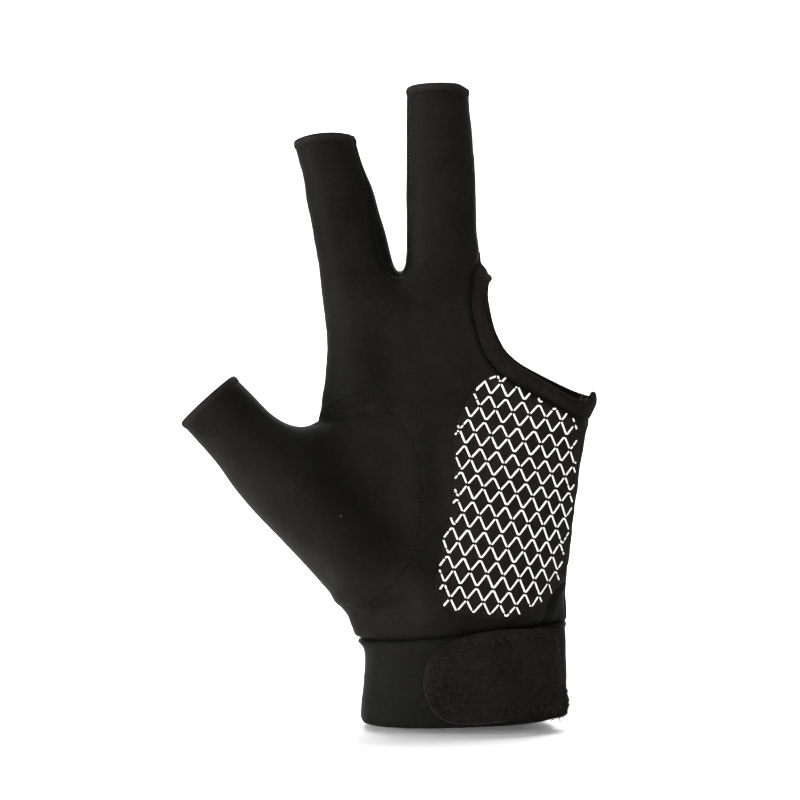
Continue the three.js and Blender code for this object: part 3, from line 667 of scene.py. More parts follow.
def compact(points, triangles):
    used = np.unique(triangles)
    number = np.full(len(points), -1)
    number[used] = np.arange(len(used))
    return points[used], number[triangles]


def cut_to(fields, base=None):
    points, triangles = base or SURFACE
    for field in fields:
        points, triangles = clip(points, triangles, field(points))
        points, triangles = compact(points, triangles)
    return points, triangles


def largest(points, triangles):
    """Drops crumbs: keeps the connected parts with more than a twentieth of the triangles."""
    label = np.arange(len(points))
    while True:
        low = label[triangles].min(axis=1)
        fresh = label.copy()
        for k in range(3):
            np.minimum.at(fresh, triangles[:, k], low)
        fresh = fresh[fresh]
        if (fresh == label).all():
            break
        label = fresh
    part = label[triangles[:, 0]]
    names, counts = np.unique(part, return_counts=True)
    keep = np.isin(part, names[counts > 0.05 * len(triangles)])
    return compact(points, triangles[keep])


def border_edges(triangles):
    edges = np.concatenate([triangles[:, [0, 1]], triangles[:, [1, 2]], triangles[:, [2, 0]]])
    ordered = np.sort(edges, axis=1)
    _, back, counts = np.unique(ordered, axis=0, return_inverse=True, return_counts=True)
    return edges[counts[back.reshape(-1)] == 1]


def border_loops(triangles):
    following = {}
    for a, b in border_edges(triangles):
        following.setdefault(int(a), []).append(int(b))
    loops = []
    while following:
        start = next(iter(following))
        loop = [start]
        here = start
        while here in following:
            after = following[here].pop()
            if not following[here]:
                del following[here]
            if after == start:
                break
            loop.append(after)
            here = after
        loops.append(np.array(loop))
    return loops


# Shells: an outer and an inner sheet with a rounded rim between them

def shell(points, triangles, outer, inner, bulge):
    """outer and inner are offsets along the normals, bulge is how far the rim stands out past the cut."""
    normals = normals_at(points)
    edges = border_edges(triangles)
    ring = np.unique(edges)
    number = np.full(len(points), -1)
    number[ring] = np.arange(len(ring))
    run = points[edges[:, 1]] - points[edges[:, 0]]
    out = unit(np.cross(run, normals[edges[:, 0]]))
    weight = np.linalg.norm(run, axis=1)[:, None] + 1e-6
    sideways = np.zeros((len(ring), 3))
    np.add.at(sideways, number[edges[:, 0]], out * weight)
    np.add.at(sideways, number[edges[:, 1]], out * weight)
    for _ in range(2):
        mixed = sideways.copy()
        np.add.at(mixed, number[edges[:, 0]], sideways[number[edges[:, 1]]] * 0.5)
        np.add.at(mixed, number[edges[:, 1]], sideways[number[edges[:, 0]]] * 0.5)
        sideways = mixed
    sideways = unit(sideways)
    outer = np.broadcast_to(outer, len(points))
    inner = np.broadcast_to(inner, len(points))
    bulge = np.broadcast_to(bulge, len(points))
    top = points + normals * outer[:, None]
    bottom = points + normals * inner[:, None]
    middle = (top[ring] + bottom[ring]) / 2
    reach = (top[ring] - bottom[ring]) / 2
    index = [ring]
    at = len(points)
    rings = []
    for n in range(1, RIM_STEPS):
        angle = math.pi * n / RIM_STEPS
        rings.append(middle + math.cos(angle) * reach + math.sin(angle) * sideways * bulge[ring][:, None])
        index.append(at + np.arange(len(ring)))
        at += len(ring)
    index.append(at + ring)
    faces = [triangles, triangles[:, ::-1] + at]
    a, b = number[edges[:, 0]], number[edges[:, 1]]
    for n in range(RIM_STEPS):
        upper, lower = index[n], index[n + 1]
        faces.append(np.stack([upper[b], upper[a], lower[a]], axis=1))
        faces.append(np.stack([upper[b], lower[a], lower[b]], axis=1))
    return np.vstack([top, *rings, bottom]), np.concatenate(faces), ring


# Relief of the worn cloth

def waves(p, length, seed, count=10):
    own = np.random.default_rng(seed)
    ways = unit(own.normal(size=(count, 3)))
    phases = own.uniform(0, 2 * math.pi, count)
    lengths = length * own.uniform(0.7, 1.5, count)
    return np.sin(p @ (ways.T * 2 * math.pi / lengths) + phases).sum(axis=1) / math.sqrt(count)


def seen_at(p):
    """Where a point shows in the photograph's frame, in pixels."""
    scale = VIEW_DISTANCE / (VIEW_DISTANCE + p[:, 1]) / PIXEL
    across = MIDDLE_PIXEL + (p[:, 0] - VIEW_FROM[0]) * scale
    down = MIDDLE_PIXEL - (p[:, 2] - VIEW_FROM[2]) * scale
    return np.stack([across, down], axis=1)


# Creases on the palm side: places in the frame's pixels, half width in pixels, height in millimetres
CREASES = [
    ([(566, 584), (558, 595), (553, 609), (550, 626)], 1.5, 0.45),
    ([(563, 584), (554, 596), (548.5, 609), (545.5, 626)], 2.2, -0.7),
    ([(572, 590), (564, 602), (559, 614), (555, 627)], 3.0, -0.3),
    ([(305, 480), (335, 540), (352, 572)], 30.0, 1.3),
    ([(384, 340), (392, 420), (390, 520)], 24.0, -1.2),
    ([(424, 590), (440, 600)], 26.0, 0.9),
    ([(318, 420), (330, 415), (341, 411)], 2.2, 0.4),
    ([(314, 425), (328, 421), (343, 416)], 2.2, -0.4),
    ([(322, 404), (333, 396), (346, 391)], 3.0, -0.35),
    ([(330, 448), (372, 440), (402, 452)], 9.0, -0.25),
    ([(347, 566), (378, 561), (404, 548)], 7.0, 0.3),
    ([(350, 560), (380, 552), (400, 540)], 7.0, -0.25),
    ([(420, 560), (444, 574), (468, 598)], 8.0, -0.25),
    ([(398, 286), (418, 300), (440, 306)], 6.0, -0.3),
    ([(402, 300), (400, 330), (408, 362)], 9.0, 0.3),
    ([(372, 612), (410, 618), (446, 612)], 6.0, 0.35),
    ([(368, 624), (410, 629), (452, 624)], 5.0, -0.25),
]

# Fullness at the edges that shows in the outline: place, radius in pixels, height in millimetres
CORNERS = [
    ((318, 414), 9.0, 1.5),
    ((324.5, 400), 11.0, 0.95),
    ((478, 250), 13.0, 0.6),
    ((487, 270), 7.0, 1.15),
    ((565, 612), 12.0, 0.35),
    ((563, 618), 6.0, 0.6),
    ((357, 634), 5.0, 0.8),
    ((337, 600), 7.0, 0.6),
]

# Painted light and shade on the cloth's colour: place, radius in pixels, share of the tone
PAINTED_LIGHT_SPOTS = [
    ((396, 600), 36.0, 0.65),
    ((318, 562), 42.0, 0.32),
    ((262, 500), 24.0, 0.18),
    ((374, 380), 56.0, -0.24),
    ((336, 236), 40.0, -0.22),
    ((446, 190), 55.0, 0.12),
    ((470, 630), 15.0, -0.3),
    ((510, 626), 15.0, -0.3),
    ((362, 690), 14.0, -0.25),
]

# The same painted light and shade along lines
PAINTED_LIGHT_LINES = [
    ([(212, 448), (232, 476), (255, 503), (277, 526), (299, 547), (319, 566), (335, 583)], 10.0, 0.65),
    ([(262, 410), (276, 420), (292, 427), (308, 427)], 6.0, -0.5),
    ([(384, 228), (389, 247), (393, 262), (399, 275)], 5.0, -0.5),
]

# Soft swells of the binding, the cuff and the tab, and where the cuff stands off the palm, in the same way
BINDING_SWELLS = [((593, 402), 9.0, 0.6), ((487, 270), 7.0, 1.15)]
CUFF_SWELLS = [((565, 626), 10.0, 0.8), ((361, 636), 8.0, 0.9), ((362, 712), 22.0, 1.0)]
TAB_SWELLS = [((566, 628), 13.0, -0.9), ((567, 704), 15.0, 1.4), ((566, 672), 20.0, 0.65)]
OPEN_CUFF_CORNER = [((567, 619), 12.0, 0.95)]


def bell(away, wide):
    return np.exp(-((away / wide) ** 2))


def swells(seen, rows):
    """The sum of soft swells round places of the frame. A row is a place, a radius and a height."""
    total = np.zeros(len(seen))
    for place, radius, height in rows:
        total += height * bell(np.linalg.norm(seen - np.array(place), axis=1), radius)
    return total


def ridges(seen, rows):
    """The same along lines. A row is a list of places, a half width and a height."""
    total = np.zeros(len(seen))
    for places, half, height in rows:
        total += height * bell(segment_distance(seen, smooth_line(places, 4.0), False), half)
    return total


# Painted light and shade: the share by which the cloth's colour is made lighter or darker
def worn_tone(p):
    seen = seen_at(p)
    return ridges(seen, PAINTED_LIGHT_LINES) + swells(seen, PAINTED_LIGHT_SPOTS)


def creases(p):
    seen = seen_at(p)
    return ridges(seen, CREASES) * smooth_step(-2, -6, p[:, 1]) + swells(seen, CORNERS)


def surface_distance(field, p, normals):
    """A seam's field as a length along the surface."""
    values = field(p)
    slopes = np.zeros_like(p)
    if field is thumb_side:
        for axis in (0, 2):
            move = np.zeros(3)
            move[axis] = FIELD_STEP
            slopes[:, axis] = (field(p + move) - values) / FIELD_STEP
    else:
        slopes[:, 1] = 1
    along = slopes - normals * (slopes * normals).sum(axis=1, keepdims=True)
    return values / np.maximum(np.linalg.norm(along, axis=1), 0.35)


def groove(away, deep, wide):
    """A groove with a soft bank on both sides."""
    return -deep * bell(away, wide) + 0.22 * deep * bell(np.abs(away) - 1.7, 0.9)


def cloth_relief(p):
    """Heights over the plain form, and how much painted shade darkens each point near a seam, from 0 to 1."""
    normals = normals_at(p)
    relief = 0.22 * waves(p, 34, 3) + 0.07 * waves(p, 11, 4) + creases(p)
    near = np.zeros(len(p))
    for n, field in enumerate((thumb_side, front_seam, back_seam)):
        away = surface_distance(field, p, normals)
        if field is front_seam:
            away = np.where(thumb_side(p) > 0, NO_SEAM, away)
        if field is back_seam:
            away = np.where((between_stalls(p) > 0) & (thumb_side(p) < 0), away, NO_SEAM)
        pucker = 0.07 * waves(p, 3.0, 20 + n) * bell(away, 2.0)
        deep, dark = (0.08, 0.25) if field is thumb_side else (0.24, 0.8)
        relief += groove(away, deep, 0.42) + pucker
        near = np.maximum(near, dark * bell(away, 0.4))
    return relief, near


def edge_relief(p):
    """Grooves where the panels meet hems, binding and cuff, and painted shade near the last two."""
    relief = np.zeros(len(p))
    for name in STALLS:
        relief += -0.03 * bell(stall_height(p, name) + HEM_HEIGHT, 0.5)
    band = past_band(p)
    cuff = cuff_height(p)
    open_side = 1 - swells(seen_at(p), OPEN_CUFF_CORNER)
    relief += groove(band, 0.6, 0.9)
    relief += -0.55 * open_side * bell(cuff, 1.1) + 0.45 * bell(cuff - 4.0, 2.6)
    return relief, np.maximum(bell(band, 0.8), bell(cuff, 1.0))


# Meshes

MM = 0.001


def add_mesh(name, points, triangles, material, attributes=None):
    mesh = bpy.data.meshes.new(name)
    mesh.vertices.add(len(points))
    mesh.vertices.foreach_set("co", (points * MM).astype(np.float32).ravel())
    mesh.loops.add(3 * len(triangles))
    mesh.loops.foreach_set("vertex_index", triangles.astype(np.int32).ravel())
    mesh.polygons.add(len(triangles))
    mesh.polygons.foreach_set("loop_start", np.arange(0, 3 * len(triangles), 3, dtype=np.int32))
    mesh.polygons.foreach_set("use_smooth", np.ones(len(triangles), bool))
    for label, values in (attributes or {}).items():
        made = mesh.attributes.new(label, "FLOAT", "POINT")
        made.data.foreach_set("value", values.astype(np.float32))
    mesh.update(calc_edges=True)
    mesh.validate()
    mesh.materials.append(material)
    made = bpy.data.objects.new(name, mesh)
    bpy.context.scene.collection.objects.link(made)
    return made


def add_piece(name, points, triangles, material, slot, node=None, attributes=None):
    made = add_mesh(name, points, triangles, material, attributes)
    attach(made, "root")
    if node:
        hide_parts(node)
    return made


def add_sheet(name, cut, faces, bulge, shades, look, worn=False):
    """A piece of cloth over a cut surface.

    faces are the heights of its outer and inner face, shades the darkening of the outer face, of the rim and,
    as a share of the first, of the inner face. look is its material, a slot that is not used, and the node that
    it replaces.
    """
    points, triangles, ring = shell(*cut, *faces, bulge)
    near, rim, back = shades
    # The shades are painted shade, which the material reads from the seam attribute
    attributes = {"seam": np.concatenate([near, np.full((RIM_STEPS - 1) * len(ring), rim), near * back])}
    # Painted light and shade on the cloth's colour
    if worn:
        attributes["worn"] = worn_tone(points)
    return add_piece(name, points, triangles, *look, attributes)


def tubes(threads, sides, sink):
    """Rounded threads. Each is a path, its normals, and half widths and heights along it."""
    points, faces = [], []
    at = 0
    angles = 2 * math.pi * np.arange(sides) / sides
    across, upright = np.cos(angles)[None, :, None], np.sin(angles)[None, :, None] - sink
    for path, up, half, height in threads:
        run = unit(np.gradient(path, axis=0))
        side = unit(np.cross(run, up))
        upward = unit(np.cross(side, run))
        n = len(path)
        ring = (
            path[:, None]
            + side[:, None] * (across * half[:, None, None])
            + upward[:, None] * (upright * height[:, None, None])
        )
        points.append(ring.reshape(-1, 3))
        points.append(path[[0, -1]] - run[[0, -1]] * np.array([[1.0], [-1.0]]) * half[[0, -1], None] * 0.3)
        grid = at + np.arange(n * sides).reshape(n, sides)
        after = np.roll(grid, -1, axis=1)
        faces.append(np.stack([grid[:-1], after[:-1], after[1:]], axis=-1).reshape(-1, 3))
        faces.append(np.stack([grid[:-1], after[1:], grid[1:]], axis=-1).reshape(-1, 3))
        first, last = at + n * sides, at + n * sides + 1
        faces.append(np.stack([after[0], grid[0], np.full(sides, first)], axis=1))
        faces.append(np.stack([grid[-1], after[-1], np.full(sides, last)], axis=1))
        at += n * sides + 2
    return np.vstack(points), np.vstack(faces)


def add_threads(name, threads, material, slot, node=None, sides=8, sink=0.1):
    add_piece(name, *tubes(threads, sides, sink), material, slot, node)


def walked_along(line):
    return np.concatenate([[0], np.cumsum(np.linalg.norm(np.diff(line, axis=0), axis=1))])


def at_lengths(wanted, walked, values):
    return np.stack([np.interp(wanted, walked, column) for column in values.T], axis=1)


def resampled(line, step):
    walked = walked_along(line)
    count = max(2, int(round(walked[-1] / step)) + 1)
    return at_lengths(np.linspace(0, walked[-1], count), walked, line)


def rounded_ends(length_at, half):
    """The share of the full width along a stroke with round ends."""
    left = np.clip(length_at / half, 0, 1)
    right = np.clip((length_at[-1] - length_at) / half, 0, 1)
    return np.sqrt(np.clip(1 - (1 - np.minimum(left, right)) ** 2, 0.02, 1))


def from_frame(places, height):
    """Points on the palm side, at a height over the cloth, that show at these pixels of the frame."""
    across = (places[:, 0] - MIDDLE_PIXEL) * PIXEL / VIEW_DISTANCE
    up = (MIDDLE_PIXEL - places[:, 1]) * PIXEL / VIEW_DISTANCE
    way = np.stack([across, np.ones(len(places)), up], axis=1)
    low = np.full(len(places), VIEW_DISTANCE - NEAREST_CLOTH)
    high = np.full(len(places), VIEW_DISTANCE)
    for _ in range(HALVINGS):
        middle = (low + high) / 2
        outside = cloth_distance(VIEW_FROM + way * middle[:, None]) > height
        low = np.where(outside, middle, low)
        high = np.where(outside, high, middle)
    hit = VIEW_FROM + way * high[:, None]
    return hit, normals_at(hit)


# Materials

class Look:
    """A material, and short ways to add nodes to it."""

    def __init__(self, name):
        self.material = bpy.data.materials.new(name)
        self.material.use_nodes = True
        self.tree = self.material.node_tree

    def fill(self, node, inputs):
        for label, value in inputs.items():
            if isinstance(value, bpy.types.NodeSocket):
                self.tree.links.new(value, node.inputs[label])
            else:
                node.inputs[label].default_value = value
        return node

    def add(self, kind, inputs, **settings):
        node = self.tree.nodes.new("ShaderNode" + kind)
        for label, value in settings.items():
            setattr(node, label, value)
        return self.fill(node, inputs)

    def coordinates(self, scale):
        place = self.add("TexCoord", {}).outputs["Object"]
        return self.add("Mapping", {"Vector": place, "Scale": scale}).outputs["Vector"]

    def attribute(self, name):
        return self.add("Attribute", {}, attribute_name=name).outputs["Fac"]

    def noise(self, vector, scale, detail, rough=0.5):
        inputs = {"Vector": vector, "Scale": scale, "Detail": detail, "Roughness": rough}
        return self.add("TexNoise", inputs).outputs["Fac"]

    def ramp(self, value, stops):
        node = self.add("ValToRGB", {"Fac": value})
        for element, (place, colour) in zip(node.color_ramp.elements, stops):
            element.position = place
            element.color = (*colour, 1)
        return node.outputs["Color"]

    def maths(self, operation, *values):
        return self.add("Math", dict(enumerate(values)), operation=operation).outputs["Value"]

    def mixed(self, share, under, colour):
        inputs = {"Factor": share, 6: under, 7: (*colour, 1)}
        return self.add("Mix", inputs, data_type="RGBA").outputs[2]

    def bump(self, height, strength, distance, **normal):
        inputs = {"Height": height, "Strength": strength, "Distance": distance, **normal}
        return self.add("Bump", inputs).outputs["Normal"]

    def shade(self, inputs):
        self.fill(self.tree.nodes["Principled BSDF"], inputs)
        return self.material


EVEN = (1.0, 1.0, 1.0)
LINT_COLOUR = (0.022, 0.021, 0.020)
SHEEN_TINT = (0.75, 0.74, 0.72, 1)


def fabric(name, dark, light, grain, rough, sheen, relief, specular, lint, mottle):
    """Woven or knitted black cloth: a fine grain of threads, cloudy tone, lint, painted shade at seams and
    edges, and painted light and shade.
    """
    look = Look(name)
    upright = look.noise(look.coordinates((grain, grain, grain * 0.34)), 1.0, 1.0)
    crossing = look.noise(look.coordinates((grain * 0.4, grain * 0.4, grain)), 1.0, 1.0)
    plain = look.coordinates(EVEN)
    cloud = look.noise(plain, 95.0, 4.0, 0.6)
    thread = look.maths("MULTIPLY", upright, crossing)
    tone = look.maths("MULTIPLY", look.maths("MULTIPLY_ADD", thread, 1.2, -0.05), 1 - mottle)
    tone = look.maths("ADD", tone, look.maths("MULTIPLY", cloud, mottle))
    colour = look.ramp(tone, [(0.22, dark), (0.72, light)])
    # Painted shade: the seam attribute mixes the colour towards a quarter of the dark colour
    near = look.maths("MULTIPLY", look.attribute("seam"), 0.62)
    colour = look.mixed(near, colour, [0.25 * c for c in dark])
    if lint:
        cells = look.add("TexVoronoi", {"Vector": plain, "Scale": 150.0}).outputs
        dot = look.maths("LESS_THAN", cells["Distance"], 0.035)
        split = look.add("SeparateColor", {"Color": cells["Color"]})
        chosen = look.maths("LESS_THAN", split.outputs["Red"], lint)
        colour = look.mixed(look.maths("MULTIPLY", dot, chosen), colour, LINT_COLOUR)
    # The attribute read here holds painted light and shade, which scales the colour
    worn = look.maths("ADD", look.attribute("worn"), 1.0)
    toned = look.add("VectorMath", {0: colour, "Scale": worn}, operation="SCALE")
    uneven = look.add("MapRange", {"Value": cloud, "To Min": rough - 0.07, "To Max": rough + 0.07})
    fine = look.bump(thread, relief, 0.0004)
    inputs = {
        "Base Color": toned.outputs["Vector"],
        "Roughness": uneven.outputs["Result"],
        "Specular IOR Level": specular,
        "Sheen Weight": sheen,
        "Sheen Roughness": 0.42,
        "Sheen Tint": SHEEN_TINT,
        "Normal": look.bump(cloud, 0.12, 0.0006, Normal=fine),
    }
    return look.shade(inputs)


def grained(name, stretch, scale, detail, stops, rough, specular, relief=None):
    """A plain material with one grain in its colour and its relief."""
    look = Look(name)
    grain = look.noise(look.coordinates(stretch), scale, detail)
    inputs = {"Base Color": look.ramp(grain, stops), "Roughness": rough, "Specular IOR Level": specular}
    if relief:
        inputs["Normal"] = look.bump(grain, *relief)
    return look.shade(inputs)


def thread_material(name, dark, light):
    stops = [(0.3, dark), (0.7, light)]
    return grained(name, (2400.0, 2400.0, 3400.0), 1.0, 2.0, stops, 0.6, 0.15, (0.5, 0.0002))


# name, dark, light, threads a metre, roughness, sheen, relief, specular, lint, mottle
FABRICS = [
    ("knit_satin", (0.0042, 0.0041, 0.0037), (0.0084, 0.0082, 0.0076), 1900, 0.55, 0.0, 0.35, 0.02, 0.012, 0.6),
    # The next row, for the turned hems, is lighter than the knit: a painted sheen
    ("knit_turned_painted_sheen", (0.0105, 0.0097, 0.0094), (0.0235, 0.0220, 0.0213), 1500, 0.65, 0.0, 0.6, 0.02, 0.0, 0.6),
    ("knit_cuff", (0.0040, 0.0040, 0.0037), (0.0080, 0.0079, 0.0074), 1500, 0.58, 0.0, 0.4, 0.02, 0.012, 0.6),
    ("trim_matte", (0.0050, 0.0042, 0.0038), (0.0130, 0.0115, 0.0108), 1100, 0.80, 0.004, 0.8, 0.02, 0.0, 0.5),
    ("brushed_tab", (0.0052, 0.0044, 0.004), (0.015, 0.0135, 0.0122), 1300, 0.85, 0.006, 0.9, 0.02, 0.03, 0.45),
    ("patch_suede", (0.0055, 0.0048, 0.0041), (0.0135, 0.0122, 0.0108), 1000, 0.82, 0.004, 0.8, 0.03, 0.0, 0.5),
]
KNIT, HEM, CUFF, TRIM, BRUSHED, PATCH = [fabric(*row) for row in FABRICS]
PRINT_STOPS = [(0.3, (0.74, 0.74, 0.73)), (0.6, (0.86, 0.86, 0.85))]
PRINT = grained("print_white", EVEN, 2600.0, 3.0, PRINT_STOPS, 0.5, 0.4, (0.25, 0.0001))
THREAD = thread_material("thread_black", (0.0025, 0.0023, 0.0022), (0.007, 0.0065, 0.006))
LINT = thread_material("lint_pale", (0.10, 0.095, 0.09), (0.24, 0.23, 0.22))
# A paler thread for the tab: dark stitches made lighter as painted highlights, and its edge line a painted
# highlight
PALE_THREAD = thread_material("thread_worn", (0.006, 0.0055, 0.005), (0.024, 0.022, 0.020))

# Panels


def inside(field, gap=SEAM_GAP):
    """The field with its zero moved inwards by a gap."""
    return lambda p: field(p) - gap


def under_hem(name):
    return lambda p: -stall_height(p, name) - HEM_HEIGHT - SEAM_GAP


def beside_thumb(p):
    return -thumb_side(p) - SEAM_GAP


SURFACE = hand_surface()
EDGES = [*map(under_hem, STALLS), inside(cuff_height), inside(past_band)]
PANELS = {
    "palm_panel": [beside_thumb, inside(front_seam)],
    "back_panel": [beside_thumb, inside(back_seam)],
    "thumb_panel": [inside(thumb_side)],
    "finger_gusset": [inside(gusset_side)],
}
borders = {}
for name, fields in PANELS.items():
    points, triangles = largest(*cut_to([*fields, *EDGES]))
    relief, near = cloth_relief(points)
    edge, near_edge = edge_relief(points)
    faces = (relief + edge, relief * 0.6 - WALL)
    # Painted shade along seams, binding and cuff, over the whole rim, and at three tenths on the inner face
    shades = (np.maximum(near, near_edge), 1.0, 0.3)
    look = (KNIT, "knit", name)
    # The panels' colour also gets painted light and shade
    add_sheet(f"{name}_cloth", (points, triangles), faces, 0.12, shades, look, worn=True)
    borders[name] = (points, relief + edge, triangles)

# Hems

for name in STALLS:
    fields = [lambda p: -stall_height(p, name), lambda p: stall_height(p, name) + HEM_HEIGHT - SEAM_GAP]
    points, triangles = largest(*cut_to(fields))
    share = np.clip((stall_height(points, name) + HEM_HEIGHT) / HEM_HEIGHT, 0, 1)
    ripple = 0.03 * waves(points, 2.2, 40) + 0.03 * waves(points, 1.1, 41)
    tilt = STALLS[name]["tilt"]
    sideways = normals_at(points) @ np.array([math.cos(tilt), 0, math.sin(tilt)])
    knot = 0.24 * bell(share - 0.5, 0.3) * smooth_step(0.9, 0.99, np.abs(sideways))
    turned = 0.10 * smooth_step(0, 0.5, share) - 0.08 * smooth_step(0.85, 1, share)
    outer = cloth_relief(points)[0] + turned + ripple + knot
    # Painted shade: darkest at the hem's seam and fading up the hem, again along its top edge, and more on its
    # rim
    near = 1.0 * (1 - smooth_step(0.05, 0.95, share)) + 0.7 * smooth_step(0.86, 0.98, share)
    # The hems' lighter colour is a painted sheen
    look = (HEM, "hem", f"{name}_hem")
    add_sheet(f"{name}_hem_turned", (points, triangles), (outer, -WALL), 0.2, (near, 1.2, 0), look)

# Binding of the opening

points, triangles = largest(*cut_to([lambda p: -past_band(p) - SEAM_GAP, past_opening]))
from_edge = past_opening(points)
from_seam = -past_band(points)
share = np.clip(from_seam / np.maximum(from_seam + from_edge, 0.2), 0, 1)
bulge = np.clip(1 - (2 * share - 1) ** 4, 0, 1) ** 0.6
outer = -0.25 + 0.55 * bulge + 0.05 * waves(points, 6, 50) + 0.02 * waves(points, 1.6, 51)
outer += swells(seen_at(points), BINDING_SWELLS)
# Painted shade along the binding's seam
shades = (bell(from_seam, 0.35), 0, 0)
look = (TRIM, "binding", "opening_binding")
add_sheet("opening_binding_folded", (points, triangles), (outer, -WALL - 0.15), 0.3, shades, look)

# Cuff

points, triangles = largest(*cut_to([lambda p: -cuff_height(p) - 0.35, wrist_height]))
below_top = -cuff_height(points)
above_edge = wrist_height(points)
lip = 0.12 * bell(above_edge - 1.2, 1.1) - 0.25 * bell(above_edge, 0.5)
hollow = 0.15 * np.sin(np.clip(below_top / CUFF_HEIGHT, 0, 1) * math.pi)
outer = 0.5 + lip - hollow + 0.12 * waves(points, 26, 60) + 0.04 * waves(points, 8, 61)
outer += swells(seen_at(points), CUFF_SWELLS)
# Painted shade along the cuff's top edge and a little on its rim
shades = (bell(below_top, 0.8) * 0.7, 0.3, 0)
look = (CUFF, "cuff", "wrist_band")
faces = (outer, -WALL - 0.05)
# The cuff's colour also gets painted light and shade
add_sheet("wrist_band_cloth", (points, triangles), faces, 0.42, shades, look, worn=True)

# Closure tab

TAB_OVER = 2.3
TAB_FACE = 2.45
TAB_BACK = 0.95


def over_cuff(p):
    return p + normals_at(p) * TAB_OVER


def in_tab(p):
    return -signed_distance(seen_at(over_cuff(p)), TAB_OUTLINE) * PIXEL - 0.35


def tab_top(seen, base):
    """Height of the tab's face over the cloth, and the distances to its edge and to its stitches."""
    inset = -signed_distance(seen, TAB_OUTLINE) * PIXEL
    stitched = segment_distance(seen, STITCH_LINE, True) * PIXEL
    top = TAB_FACE - 0.35 * bell(inset, 0.9) - 0.22 * bell(stitched, 0.5)
    top += 0.10 * waves(base, 18, 70) + 0.03 * waves(base, 2.5, 71)
    return top + swells(seen, TAB_SWELLS), inset, stitched


def lay_on_tab(places):
    hit, normal = from_frame(places, TAB_OVER)
    base = hit - normal * TAB_OVER
    return base + normal * (tab_top(places, base)[0][:, None] + 0.04), normal


low_front = [lambda p: -p[:, 1] - SEAM_FORWARD + 0.3, lambda p: 34 - p[:, 2]]
points, triangles = largest(*cut_to([*low_front, in_tab]))
outer, inset, stitched = tab_top(seen_at(over_cuff(points)), points)
# Painted shade along the stitches; the face is also darker inside a strip along its edge
shades = (np.maximum(0.5 * bell(stitched, 0.4), 0.2 * smooth_step(2.2, 3.4, inset)), 0, 0)
look = (BRUSHED, "tab", "closure_tab")
faces = (outer, TAB_BACK)
add_sheet("closure_tab_cloth", (points, triangles), faces, 0.4, shades, look)

# Grip patch

PATCH_LOW = 0.12
PATCH_HIGH = 0.62


def in_patch(p):
    return np.minimum(-signed_distance(p[:, [0, 2]], PATCH_OUTLINE), past_band(p) - 0.5)


points, triangles = largest(*cut_to([lambda p: -p[:, 1] - SEAM_FORWARD - 0.4, inside(in_patch, 0.2)]))
soft = np.clip(in_patch(points), 0, 1.2) / 1.2
under = cloth_relief(points)[0] + edge_relief(points)[0] * 0.5
outer = under + PATCH_HIGH - 0.2 * (1 - soft) ** 2 + 0.02 * waves(points, 2.4, 80)
# Painted shadow along the patch's edge and on its rim
shades = (0.25 * (1 - soft), 0.4, 0)
look = (PATCH, "patch", "grip_patch")
faces = (outer, under + PATCH_LOW)
add_sheet("grip_patch_cloth", (points, triangles), faces, 0.18, shades, look)

# Print: rows of rounded peaks and of rounded dips, whose ends nearly meet at the side corners of the diamonds.
# A row is its first side corner in the frame's pixels and the fall to the next. The columns lie across from it.
PRINT_ROWS = [
    (484.6, 379.8, 2.95), (479.8, 406.0, 2.95), (474.9, 432.2, 2.95), (470.8, 458.5, 2.98),
    (467.3, 484.7, 2.95), (463.0, 512.6, 2.67), (458.2, 541.1, 2.35), (453.9, 569.4, 2.17),
    (450.2, 597.7, 2.00),
]
PRINT_ACROSS = [-31.5, -15.3, 0.0, 16.3, 33.1, 49.4, 65.7, 80.8, 94.3, 106.5, 117.5]
FIRST_COLUMN = -2
OVER_FIRST_ROW = 26.2
UNDER_LAST_ROW = 25.0
# Where along a diamond its peak and its dip lie, and how far they reach towards the next row
PEAK_PLACE, PEAK_SHARE, PEAK_BLUNT = 0.613, 0.482, 0.15
DIP_PLACE, DIP_SHARE, DIP_BLUNT = 0.387, 0.508, 0.12
STROKE_STEP = 0.25
STROKE_HALF = 0.255
STROKE_HIGH = 0.22
ROUND_STEPS = 6
END_CUTS = (5, 8)
# Near the border the strokes are dashes: their length and gap in steps, and the border's width in pixels
DASH_STEPS = (14, 60)
DASH_GAP = 3
SHORTEST_DASH = 6
BORDER = 7
PRINT_AREA = np.array([
    (476.6, 389.0), (472.0, 396.6), (466.8, 405.5), (458.0, 424.0), (454.8, 433.0), (454.4, 451.0),
    (454.8, 488.6), (453.0, 503.0), (450.2, 517.0), (443.2, 538.6), (439.4, 565.0), (439.8, 592.0),
    (443.6, 605.6), (456.0, 613.5), (472.0, 618.0), (489.0, 618.6), (506.0, 619.0), (517.4, 615.4),
    (529.0, 609.6), (541.8, 602.4), (552.5, 593.0), (559.6, 579.0), (563.4, 556.4), (566.0, 540.0),
    (569.4, 531.4), (572.4, 508.0), (573.8, 488.6), (575.4, 467.0), (576.4, 442.0), (576.2, 426.0),
    (572.0, 418.0), (565.0, 411.7), (541.0, 399.4), (533.0, 394.7), (528.4, 392.0), (513.0, 382.6),
    (507.0, 377.4), (498.0, 375.4), (487.0, 378.0),
])
BORDER_LINES = [[(476.4, 390.3), (481.2, 385.0), (485.8, 380.6)], [(489.4, 378.8), (496.0, 376.2)]]


def bent(start, corner, end, softness):
    """Two straight legs with a short blunt corner between them."""
    a = corner + (start - corner) * softness
    b = corner + (end - corner) * softness
    line = resampled(np.vstack([start, a, b, end]), STROKE_STEP)
    for _ in range(2):
        line[1:-1] = (line[:-2] + 2 * line[1:-1] + line[2:]) / 4
    return line


